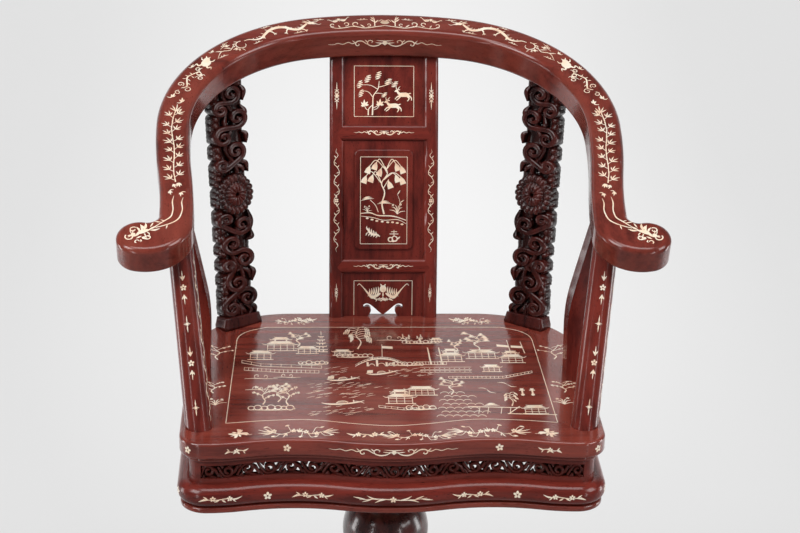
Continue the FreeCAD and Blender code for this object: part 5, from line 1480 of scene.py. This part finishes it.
def plaque_picture():
    """A hanging-leaved tree above rocks and water, in an upright frame of line."""
    half_w, low, high = 34.2, 111, 239
    out = frame_lines(half_w, low, high)
    out += placed(fan_palm(76), (-1, low + 44))
    out += [ribbon(((-34, 156), (-20, 157), (-8, 153), (14, 152), (33, 146)), (1.0, 1.6, 1.4, 1.6, 1.0), 18),
            ribbon(((-33, 152), (-16, 150), (0, 146), (20, 147), (33, 141)), (0.6, 1.0, 0.8, 1.0, 0.6), 18)]
    for x, y in ((-24, 149), (-17, 147), (-10, 145), (-2, 144), (6, 143), (13, 143), (20, 142), (27, 140)):
        out.append(disc((x, y), 2.2, 1.3))
    out += placed(pad_of_leaves(20, 3), (-24, 176), turn=8) + placed(pad_of_leaves(22, 3), (1, 170))
    out += placed(orchid(0.9), (20, 155)) + placed(orchid(0.55), (-24, 158))
    out += [ribbon(((-20, 176), (-12, 168), (-8, 158)), (0.7, 0.9, 1.0), 7)]
    out += placed(feather_fish(1.25), (-15, 124), turn=-16) + placed(stone_shrub(1.3), (14, 114))
    out += [ribbon(((22, 160), (24, 172), (20, 184)), (0.7, 0.6, 0.3), 8)]
    return out + leaves((20, 184, 24, 190, 1.4), (24, 172, 30, 176, 1.4))


def bat_picture():
    """A bat over two peaches above the cloud opening, framed on three sides."""
    half_w, low, high = 43.0, 3, 55
    out = frame_lines(half_w, low, high)[1:]
    out += placed(stretched(bat(76), 1, 1.1), (0, 41))
    out += placed(twig(30, 1), (0, 27)) + placed(blossom(2.4), (-5, 27)) + placed(blossom(2.4), (5, 27))
    return out


def stile_drawings():
    """A chain of stems beside the plaque, and a knotted spindle above and below it."""
    x, middle = 69, 175
    out = placed(vine(126, 3.8, 9, 0.72), (x, middle), turn=90) + placed(blossom(3.0, 4, 45), (x, middle))
    out += placed(leaves((0, 3, 0, 9, 1.2), (0, -3, 0, -9, 1.2)), (x, middle))
    knot = np.array(((-3.0, 9), (2.8, 4.5), (-3.0, 0), (2.8, -4.5), (-3.0, -9)))
    spindle = leaves((0, 4, 0, 20, 1.2), (0, -4, 0, -20, 1.2)) + [disc((0, 0), 1.5)]
    spindle += [ribbon(knot * (way, 1), (0.7, 0.9, 0.9, 0.9, 0.7), 22) for way in (1, -1)]
    for at, size in ((328, 1.0), (38, 0.72)):
        out += placed(spindle, (x, at), size)
    return two_sided(out)


def front_post_drawings():
    """Stars, and flowers between pairs of buds, up the front of the post, and a vine up its inner side."""
    out = []
    for at in (28.5, 140):
        out += placed(star(4.6), (0, at)) + leaves((0, at, 0, at + 11, 1.5), (0, at, 0, at - 11, 1.5))
    for at in (88, 188):
        out += placed(blossom(4.2), (0, at)) + placed(arrow_bud(13), (0, at + 9))
        out += placed(arrow_bud(13), (0, at - 9), turn=180)
    return out + placed(vine(196, 2.4, 11, 0.9), (21, 118), turn=90)


def edge_drawings():
    """Flowers and twigs along the seat's edge and the apron, both ways from the middle of the front."""
    edge = scroll_ornament(170, 5.2)
    apron = leaves((-16, 1, -34, 5, 2.2, 0.1), (16, -1, 34, -5, 2.2, 0.1),
                   (-10, 0, -24, -5, 2.2, -0.1), (10, 0, 24, 5, 2.2, -0.1))
    apron += [ribbon(((-44, -1), (-16, 1), (16, -1), (44, 1)), (0.4, 1.1, 1.1, 0.4), 14)]
    apron += leaves((-36, 0, -52, 2.6, 1.8), (36, 0, 52, -2.6, 1.8),
                    (-28, 0, -40, -4, 1.6), (28, 0, 40, 4, 1.6))
    apron += placed(blossom(4.2))
    for side in (1, -1):
        for at in (140, 272, 392, 520):
            edge += placed(blossom(5.2), (side * at, 0), turn=10 * side)
        for at in (206, 332, 456):
            edge += placed(twig(26, buds=1), (side * at, 0), size=1.2, flip=side < 0)
        for at in (106, 228, 350, 480):
            apron += placed(twig(42), (side * at, 0), size=1.32, flip=side < 0)
        for at in (166, 292, 414):
            apron += placed(blossom(5.6), (side * at, 0))
    return edge, apron


def lay_inlay():
    """Every piece of inlay, each on the face that carries it."""
    edge, apron = edge_drawings()
    cross_rail = scroll_ornament(88, 3.6)
    inlay("inlay_rail", [(crest_half(), on_rail(1)), (crest_half(), on_rail(-1)),
                         (placed(scroll_ornament(164, 6.4), (0, -21)), on_crest_face)])
    inlay("inlay_seat", [(seat_landscape() + seat_border() + seat_margins(), on_seat)])
    inlay("inlay_seat_edge", [(edge, on_seat_edge)])
    inlay("inlay_apron", [(apron, on_apron)])
    inlay("inlay_splat", [(splat_top_picture(), on_splat(PANEL_DEPTH)),
                          (bat_picture(), on_splat(PANEL_DEPTH)),
                          (plaque_picture(), on_splat(PLAQUE_DEPTH)),
                          (placed(cross_rail, (0, 274.3)) + placed(cross_rail, (0, 77.5)), on_splat(0)),
                          (stile_drawings(), on_splat(0))])
    inlay("inlay_front_posts", [(front_post_drawings(), on_front_post(side)) for side in (1, -1)])


lay_inlay()


# Carving: strands swept along lines, with domed fronts and square sides

SECTION = 12
SPIRAL_CORE = 0.26
DEEPEST_FRONT = 14.0


def strand_section(dish):
    """One section of a strand: share across from -1 to 1, and share of the depth from front to back.

    x = cos a to a power, depth = (1 - sin a to a power) / 2, a superellipse that
    is rounder in front than behind. The dish hollows the middle of the front.
    """
    a = 2 * math.pi * np.arange(SECTION) / SECTION
    x = np.sign(np.cos(a)) * np.abs(np.cos(a)) ** 0.62
    y = np.sign(np.sin(a)) * np.abs(np.sin(a)) ** np.where(np.sin(a) > 0, 0.55 if dish else 0.9, 0.35)
    y = np.where(y > 0, y * (1 - dish * (1 - x * x) ** 2), y)
    return x, (1 - y) / 2


def strand(points, widths, front, back, count=30):
    """One carved strand in millimetres: its line, widths, and the depths of its front and back."""
    return smooth_line(points, count), spread(widths, count), spread(front, count), spread(back, count)


def scroll(lead, centre, radius, start_deg, turns, widths, front, back, core):
    """A strand that runs along lead points and winds into a spiral.

    The spiral's radius shrinks from radius to its core share as t to the power 0.8.
    """
    t = np.linspace(0, 1, 15)
    angle = math.radians(start_deg) + 2 * math.pi * turns * t
    r = radius * (1 - (1 - core) * t ** 0.8)
    wound = np.array(centre) + r[:, None] * np.stack((np.cos(angle), np.sin(angle)), 1)
    points = np.vstack((np.array(lead, float).reshape(-1, 2), wound))
    return strand(points, widths, front, back, 34)


def paired(first, second, turns, widths, front, back, bend, same):
    """A band that unwinds from one spiral and winds into another: each is (centre, radius).

    The band leaves and meets the spirals along their common tangent, on
    opposite sides for an S, or on the same side for a C.
    """
    (c1, r1), (c2, r2) = [(np.array(c, float), r) for c, r in (first, second)]
    gap = c2 - c1
    way = math.atan2(gap[1], gap[0])
    reach = (r1 + r2) if not same else (r1 - r2)
    alpha = math.acos(max(-1, min(1, reach / np.linalg.norm(gap))))
    leave = way - bend * alpha
    meet = leave if same else leave + math.pi
    t = np.linspace(0, 1, 16)[:, None]
    shrink = 1 - (1 - SPIRAL_CORE) * t ** 0.8
    out_angle = leave - bend * 2 * math.pi * turns * t
    in_angle = meet + (bend if same else -bend) * 2 * math.pi * turns * t
    unwound = c1 + r1 * shrink * np.hstack((np.cos(out_angle), np.sin(out_angle)))
    wound = c2 + r2 * shrink * np.hstack((np.cos(in_angle), np.sin(in_angle)))
    return strand(np.vstack((unwound[::-1], wound)), widths, front, back, 60)


def carve(strands, place, dish=0.0):
    """Closed tubes round all strands: points, faces and relief.

    A point lies beside its line by its share of half the width, at its share of the
    way from front to back. Strands with equally many points are worked out together.
    """
    share_x, share_d = strand_section(dish)
    points, quads, relief, start = [], [], [], 0
    for n in sorted({len(s[0]) for s in strands}):
        group = [s for s in strands if len(s[0]) == n]
        line = np.stack([s[0] for s in group])
        side = np.stack([across(s[0]) for s in group])
        width, front, back = (np.stack([s[k] for s in group])[..., None] for k in (1, 2, 3))
        u = line[..., 0:1] + side[..., 0:1] * share_x * width / 2
        v = line[..., 1:2] + side[..., 1:2] * share_x * width / 2
        depth = front + (back - front) * share_d
        ring = start + np.arange(u.size).reshape(u.shape)
        quads += [bridge(ring[:, :-1], ring[:, 1:]), cap(ring[:, 0], False), cap(ring[:, -1], True)]
        points.append(place(u * MM, v * MM, -depth * MM).reshape(-1, 3))
        # Relief for the carved finish's painted shade: high on strand fronts, low at the backs and on
        # deep-set strands
        high = np.clip(1 - share_d * 2.4, 0, 1) * np.clip(-front / DEEPEST_FRONT, 0.25, 1)
        relief.append(np.broadcast_to(high, u.shape).ravel())
        start += u.size
    return np.vstack(points), np.vstack(quads), np.concatenate(relief)


def bridge(low, high):
    """Four-sided faces between rings of points and the next rings, each ring closed along its last axis."""
    return np.stack((low, np.roll(low, -1, -1), np.roll(high, -1, -1), high), -1).reshape(-1, 4)


def cap(ring, turned):
    """Faces across the ends of tubes, turned over or not: rungs from each ring's first half to its second."""
    n = ring.shape[-1]
    j = np.arange(n // 2 - 1)
    faces = np.stack((ring[..., j], ring[..., n - 1 - j], ring[..., n - 2 - j], ring[..., j + 1]), -1)
    faces = faces.reshape(-1, 4)
    return faces[:, ::-1] if turned else faces


def outward(points, quads):
    """The faces, turned over if the closed form they make has negative volume."""
    a, b, c, d = (points[quads[:, k]] for k in range(4))
    volume = np.einsum("ij,ij->i", a, np.cross(b, c)).sum() + np.einsum("ij,ij->i", a, np.cross(c, d)).sum()
    return quads[:, ::-1] if volume < 0 else quads


def join_parts(parts):
    """Several (points, faces, relief) joined into one."""
    points, quads, relief, start = [], [], [], 0
    for p, q, r in parts:
        q = outward(p, q)
        points.append(p)
        quads.append(q + start)
        relief.append(r)
        start += len(p)
    return np.vstack(points), np.vstack(quads), np.concatenate(relief)


def on_carved_post(side, stretch=1.0):
    """The leaning, turned frame of a carved post: u across its face, v up, lift towards the sitter."""
    lean = math.atan2(CARVED_POST_BACK, CARVED_POST_RISE)
    sway = math.atan2(CARVED_POST_OUT, CARVED_POST_RISE)
    turn = np.array(Matrix.Rotation(-CARVED_POST_TURN, 3, "Z") @ Matrix.Rotation(-lean, 3, "X")
                    @ Matrix.Rotation(-sway, 3, "Y"))

    def place(u, v, lift):
        local = np.stack(np.broadcast_arrays(u * stretch, -lift, v), -1)
        return (local @ turn.T + CARVED_POST_FOOT) * (side, 1, 1)
    return place


# The posts' carving, in millimetres across and up: scrolls as two spirals, (centre, radius) each,
# with the way they bend and whether both turn on one side, lobed blocks as (foot, top, lobes)
SCROLL_STRETCH = 1.25
ROSETTE_LEVEL, ROSETTE_RIM, ROSETTE_SCALLOP, ROSETTE_BASE = 195.0, 28.6, 2.2, 11.5
CARVING_FOOT, CARVING_TALL, LOBES_OUTER = 14, 366, 30.2
POST_HOLES = (52, 98, 163, 226, 292, 330)
POST_PAIRS = (
    (((-3, 340), 13), ((12, 318), 10), 1, False), (((-9, 305), 14), ((11, 278), 13), 1, False),
    (((-5, 257), 13.5), ((14, 239), 9), 1, True), (((14, 159), 9.5), ((-8, 149), 13.5), -1, True),
    (((7, 122), 14), ((-9, 98), 13.5), -1, False), (((15, 90), 9.5), ((3, 64), 14), 1, False),
    (((-10, 40), 14), ((12, 28), 12.5), -1, True), (((-4, 374), 13), ((12, 356), 10), -1, False))
SIDE_LOBES = ((15, 57, 4), (59, 78, 2), (81, 100, 2), (104, 122, 2), (124, 149, 2), (150, 172, 2),
              (175, 203, 3), (205, 241, 4), (245, 267, 2), (269, 311, 4), (313, 342, 3), (344, 384, 4))
FLICKS = (((-17, 322), (-22, 312), (-20, 300)), ((-16, 284), (-22, 279), (-22, 266)),
          ((-11, 240), (-19, 238), (-22, 224)), ((-4, 238), (-13, 232), (-16, 224)),
          ((-19, 168), (-22, 152), (-20, 134)), ((-15, 124), (-22, 128), (-22, 138)),
          ((-18, 84), (-22, 76), (-19, 62)), ((-6, 84), (-14, 78), (-17, 66)), ((2, 290), (7, 298), (4, 312)),
          ((4, 136), (-2, 142), (-2, 160)), ((2, 80), (-4, 88), (2, 102)), ((0, 244), (6, 236), (4, 226)),
          ((16, 48), (20, 58), (15, 70)), ((-2, 56), (2, 48), (0, 38)), ((-17, 352), (-22, 342), (-20, 328)),
          ((-12, 30), (-20, 24), (-22, 14)), ((0, 30), (-4, 22), (-10, 15)))


def post_strands():
    """Cloud scrolls in pairs up the post, with pointed flicks between and the rosette's place left free."""
    out = []
    for k, (first, second, bend, same) in enumerate(POST_PAIRS):
        low = -13.2 - 1.4 * (k % 2)
        out.append(paired(first, second, 1.25, (4.4, 5.6, 6.8, 7.6, 8.0, 7.6, 6.8, 5.6, 4.4),
                          (low, low - 1, low + 1.5, low - 1, low), (9, 10, 10), bend, same))
        for centre, radius in (first, second):
            u, v = centre
            out.append(strand(((u - 1, v), (u + 1, v)), (3.4, 4.2, 3.4), (low - 1, low - 1), (6, 6), 6))
    for line in FLICKS:
        out.append(strand(line, (2.6, 6.4, 6.0, 1.2), (-8, -11.5, -9), (9, 12, 10), 14))
    foot = CARVING_FOOT - 1
    for x in (-11, 0, 11):
        tall = 19 - abs(x) * 0.2
        flute = ((x - 0.5, foot), (x + 3 * np.sign(x), foot + tall / 2), (x * 0.6, foot + tall))
        out.append(strand(flute, (3.5, 5.0, 3.5), (-11, -12.5, -11), (4, 6, 4), 12))
    return out


def post_mass():
    """The thick parts behind: lobed blocks up the outer side, a board with small holes, and a wavy stem.

    A lobe swells as |sin| to the power 0.6. The board is two strips that draw
    apart as a bell curve at each hole.
    """
    out = []
    for low, high, lobes in SIDE_LOBES:
        t = np.linspace(0, 1, 10 * lobes + 1)
        bulge = np.abs(np.sin(math.pi * lobes * t)) ** 0.6
        widths = 11.5 + 3.0 * bulge
        line = np.stack((LOBES_OUTER - widths / 2, low + (high - low) * t), 1)
        out.append((line, widths, -5.0 - 3.0 * bulge, np.full(len(t), 13.5)))
    steps = 90
    t = np.linspace(0, 1, steps)
    height = CARVING_FOOT + CARVING_TALL * t
    middle = 5 * np.sin(t * 21)
    opening = sum(np.exp(-((height - hole) / 4.5) ** 2) for hole in POST_HOLES)
    scallop = 1.6 * np.abs(np.sin(math.pi * 30 * t)) ** 0.6
    front, back = np.full(steps, -1.0), np.full(steps, 12.5)
    for low, high in ((-27.4 - scallop, middle - 5 * opening), (middle + 5 * opening - 1, 22 + 0 * t)):
        out.append((np.stack(((low + high) / 2, height), 1), high - low, front, back))
    stem = np.stack((9 * np.sin(t * 9.5 * math.pi), height), 1)
    top_block = np.stack((np.full(9, -18.0), np.linspace(350, 384, 9)), 1)
    for line, width, front, back in ((stem, 8.0, -8.0, 6.0), (top_block, 19.0, -8.5, 12.0)):
        out.append((line, *(np.full(len(line), value) for value in (width, front, back))))
    return out


def foot_block(place):
    """A low block with flared sides and a stepped top: rings of a rounded rectangle, stacked.

    A ring is cos a and sin a to the power 0.18, times half the block's width and depth.
    """
    a = 2 * math.pi * (np.arange(32) + 0.5) / 32
    x = np.sign(np.cos(a)) * np.abs(np.cos(a)) ** 0.18
    y = np.sign(np.sin(a)) * np.abs(np.sin(a)) ** 0.18
    levels = ((-3, 1.0), (3, 1.0), (9, 0.95), (12.5, 0.925), (14, 0.92), (15, 0.90), (15, 0.02))
    u = np.stack([33.4 * x * k for _, k in levels])
    depth = np.stack([14.6 * y * k for _, k in levels])
    v = np.stack([np.full(32, h, float) for h, _ in levels])
    ring = np.arange(u.size).reshape(u.shape)
    quads = np.vstack((bridge(ring[:-1], ring[1:]), cap(ring[0], False), cap(ring[-1], True)))
    return place(u * MM, v * MM, -depth * MM).reshape(-1, 3), quads, np.full(u.size, 0.8)


def rosette(place):
    """A flower of two rings of petals: height = ring profile times |cos| of the angle between petals.

    The rim is scalloped by |cos 10a|, the petals bulge as a half sine across each
    ring, and a funnel opens in the middle.
    """
    around, steps = 240, 26
    a = 2 * math.pi * np.arange(around) / around
    t = np.linspace(0.07, 1, steps)[:, None]
    rim = ROSETTE_RIM + ROSETTE_SCALLOP * np.abs(np.cos(10 * a)) ** 0.7
    r = t * rim
    inner = np.clip(t / 0.56, 0, 1)
    outer = np.clip((t - 0.56) / 0.44, 0, 1)
    petal_in = np.abs(np.cos(6 * a)) ** 0.5
    petal_out = np.abs(np.cos(10 * a)) ** 0.5
    height = np.where(t < 0.56, 4.2 + 3.4 * np.sin(math.pi * inner ** 1.2) ** 0.7 * (0.45 + 0.55 * petal_in),
                      1.0 + 4.2 * np.sin(math.pi * np.clip(outer, 0, 0.93)) ** 0.6 * (0.5 + 0.5 * petal_out))
    height = height * np.clip((t - 0.05) / 0.06, 0.2, 1) - 6.5 * (t > 0.995)
    u = r * np.cos(a)
    v = ROSETTE_LEVEL + r * np.sin(a)
    back_r = np.array((1.0, 0.09))[:, None] * rim
    u = np.vstack((u, back_r * np.cos(a)))
    v = np.vstack((v, ROSETTE_LEVEL + back_r * np.sin(a)))
    lift = np.vstack((height + ROSETTE_BASE, np.full((2, around), -6.0)))
    ring = np.arange(u.size).reshape(u.shape)
    quads = bridge(ring, np.roll(ring, -1, 0))
    relief = np.clip((lift - ROSETTE_BASE - 1.0) / 5.0, 0, 1)
    return place(u * MM, v * MM, lift * MM).reshape(-1, 3), quads, relief.ravel()


def carved_posts():
    """Both carved posts: dished scrolls before thicker blocks, a foot block and a rosette."""
    for side, name in ((1, "right"), (-1, "left")):
        place = on_carved_post(side)
        scrolls = carve(post_strands(), on_carved_post(side, SCROLL_STRETCH), 0.30)
        mass = carve(post_mass(), place)
        points, quads, relief = join_parts([scrolls, mass, foot_block(place), rosette(place)])
        piece = mesh_piece("carved_scrolls_" + name, points, quads, carved_wood, relief=relief)
        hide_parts("carved_post_" + name)


carved_posts()


# The pierced band under the seat

WINDOW_LOW, WINDOW_HIGH = 413.5, 432.5
BAND_LOW, BAND_HIGH = 406.0, 440.0
BAND_SETBACK, BAND_DEPTH = 12.0, 12.0
WINDOWS = ((0, 258), (434, 100), (-434, 100), (EDGE_LENGTH / MM / 2, 118))

# Each leaf of the vine: its line from the middle of a cell, its widths, and its front and back depths
BAND_LEAVES = ((((6, -5), (11, -1), (15, 7)), (2.8, 5.4, 3.6), (1, 0.8), (9, 9)),
               (((-12, -3), (-9.5, -6), (-7, -10)), (2.0, 5.0, 2.6), (2, 1), (8, 8)),
               (((2, 6), (6, 8), (12, 8.5)), (2.0, 4.8, 2.0), (2, 1), (8, 8)),
               (((-8.5, 12.5), (-7.5, 9), (-6.5, 4)), (10.5, 8.5, 2.0), (1.5, 1), (8.5, 8.5)))


def on_band(u, v, lift):
    """The upright band set back under the seat's edge: v is height above the floor."""
    x, y, nx, ny = edge_frame(u)
    out = lift - BAND_SETBACK * MM
    return np.stack(np.broadcast_arrays(x + nx * out, y + ny * out, v), -1)


def band_strip(low, high, start, end, front=0.0):
    """A length of the band's frame as a flat-sided closed bar along the edge."""
    count = max(4, int(abs(end - start) / 6))
    u = np.linspace(start, end, count)[:, None] + np.zeros((1, 4))
    v = np.array((low, low, high, high)) + np.zeros((count, 1))
    depth = np.array((front, BAND_DEPTH, BAND_DEPTH, front)) + np.zeros((count, 1))
    ring = np.arange(u.size).reshape(u.shape)
    quads = np.vstack((bridge(ring[:-1], ring[1:]), ring[:1, ::-1], ring[-1:]))
    return on_band(u * MM, v * MM, -depth * MM).reshape(-1, 3), quads, np.full(u.size, 0.9)


def band_vines(centre, half):
    """A running vine in one window: curls above and below a wave, with leaves between."""
    out, pitch = [], 27.0
    count = int(2 * half / pitch)
    pitch = 2 * half / count
    mid = (WINDOW_LOW + WINDOW_HIGH) / 2
    for k in range(count):
        s = 1 if k % 2 else -1
        x = centre - half + pitch * (k + 0.5)
        lead = ((x - 13, mid + s * 7), (x - 10, mid + s), (x - 6, mid - s * 5))
        out.append(scroll(lead, (x + 1, mid - s * 0.5), 8.0, -120 * s, 1.15 * s,
                          (3.8, 4.6, 5.0, 4.4, 3.4), (1.0, 0.5), (9, 9), 0.34))
        for line, widths, front, back in BAND_LEAVES:
            out.append(strand([(x + dx, mid + s * dy) for dx, dy in line], widths, front, back))
    return out


def pierced_band():
    """The band's frame and vines, standing for the four pierced boards."""
    total = EDGE_LENGTH / MM
    parts = [band_strip(BAND_LOW, WINDOW_LOW, 0, total), band_strip(WINDOW_HIGH, BAND_HIGH, 0, total)]
    spans = sorted((c % total, h) for c, h in WINDOWS)
    for (c, h), (after, after_h) in zip(spans, spans[1:] + [(spans[0][0] + total, spans[0][1])]):
        parts.append(band_strip(WINDOW_LOW, WINDOW_HIGH, c + h, after - after_h, 0.4))
    for c, h in WINDOWS:
        parts.append(carve(band_vines(c, h), on_band))
    points, quads, relief = join_parts(parts)
    piece = mesh_piece("pierced_band", points, quads, pierced_wood, relief=relief, smooth=False)
    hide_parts("frieze_front", "frieze_back", "frieze_right", "frieze_left")


pierced_band()
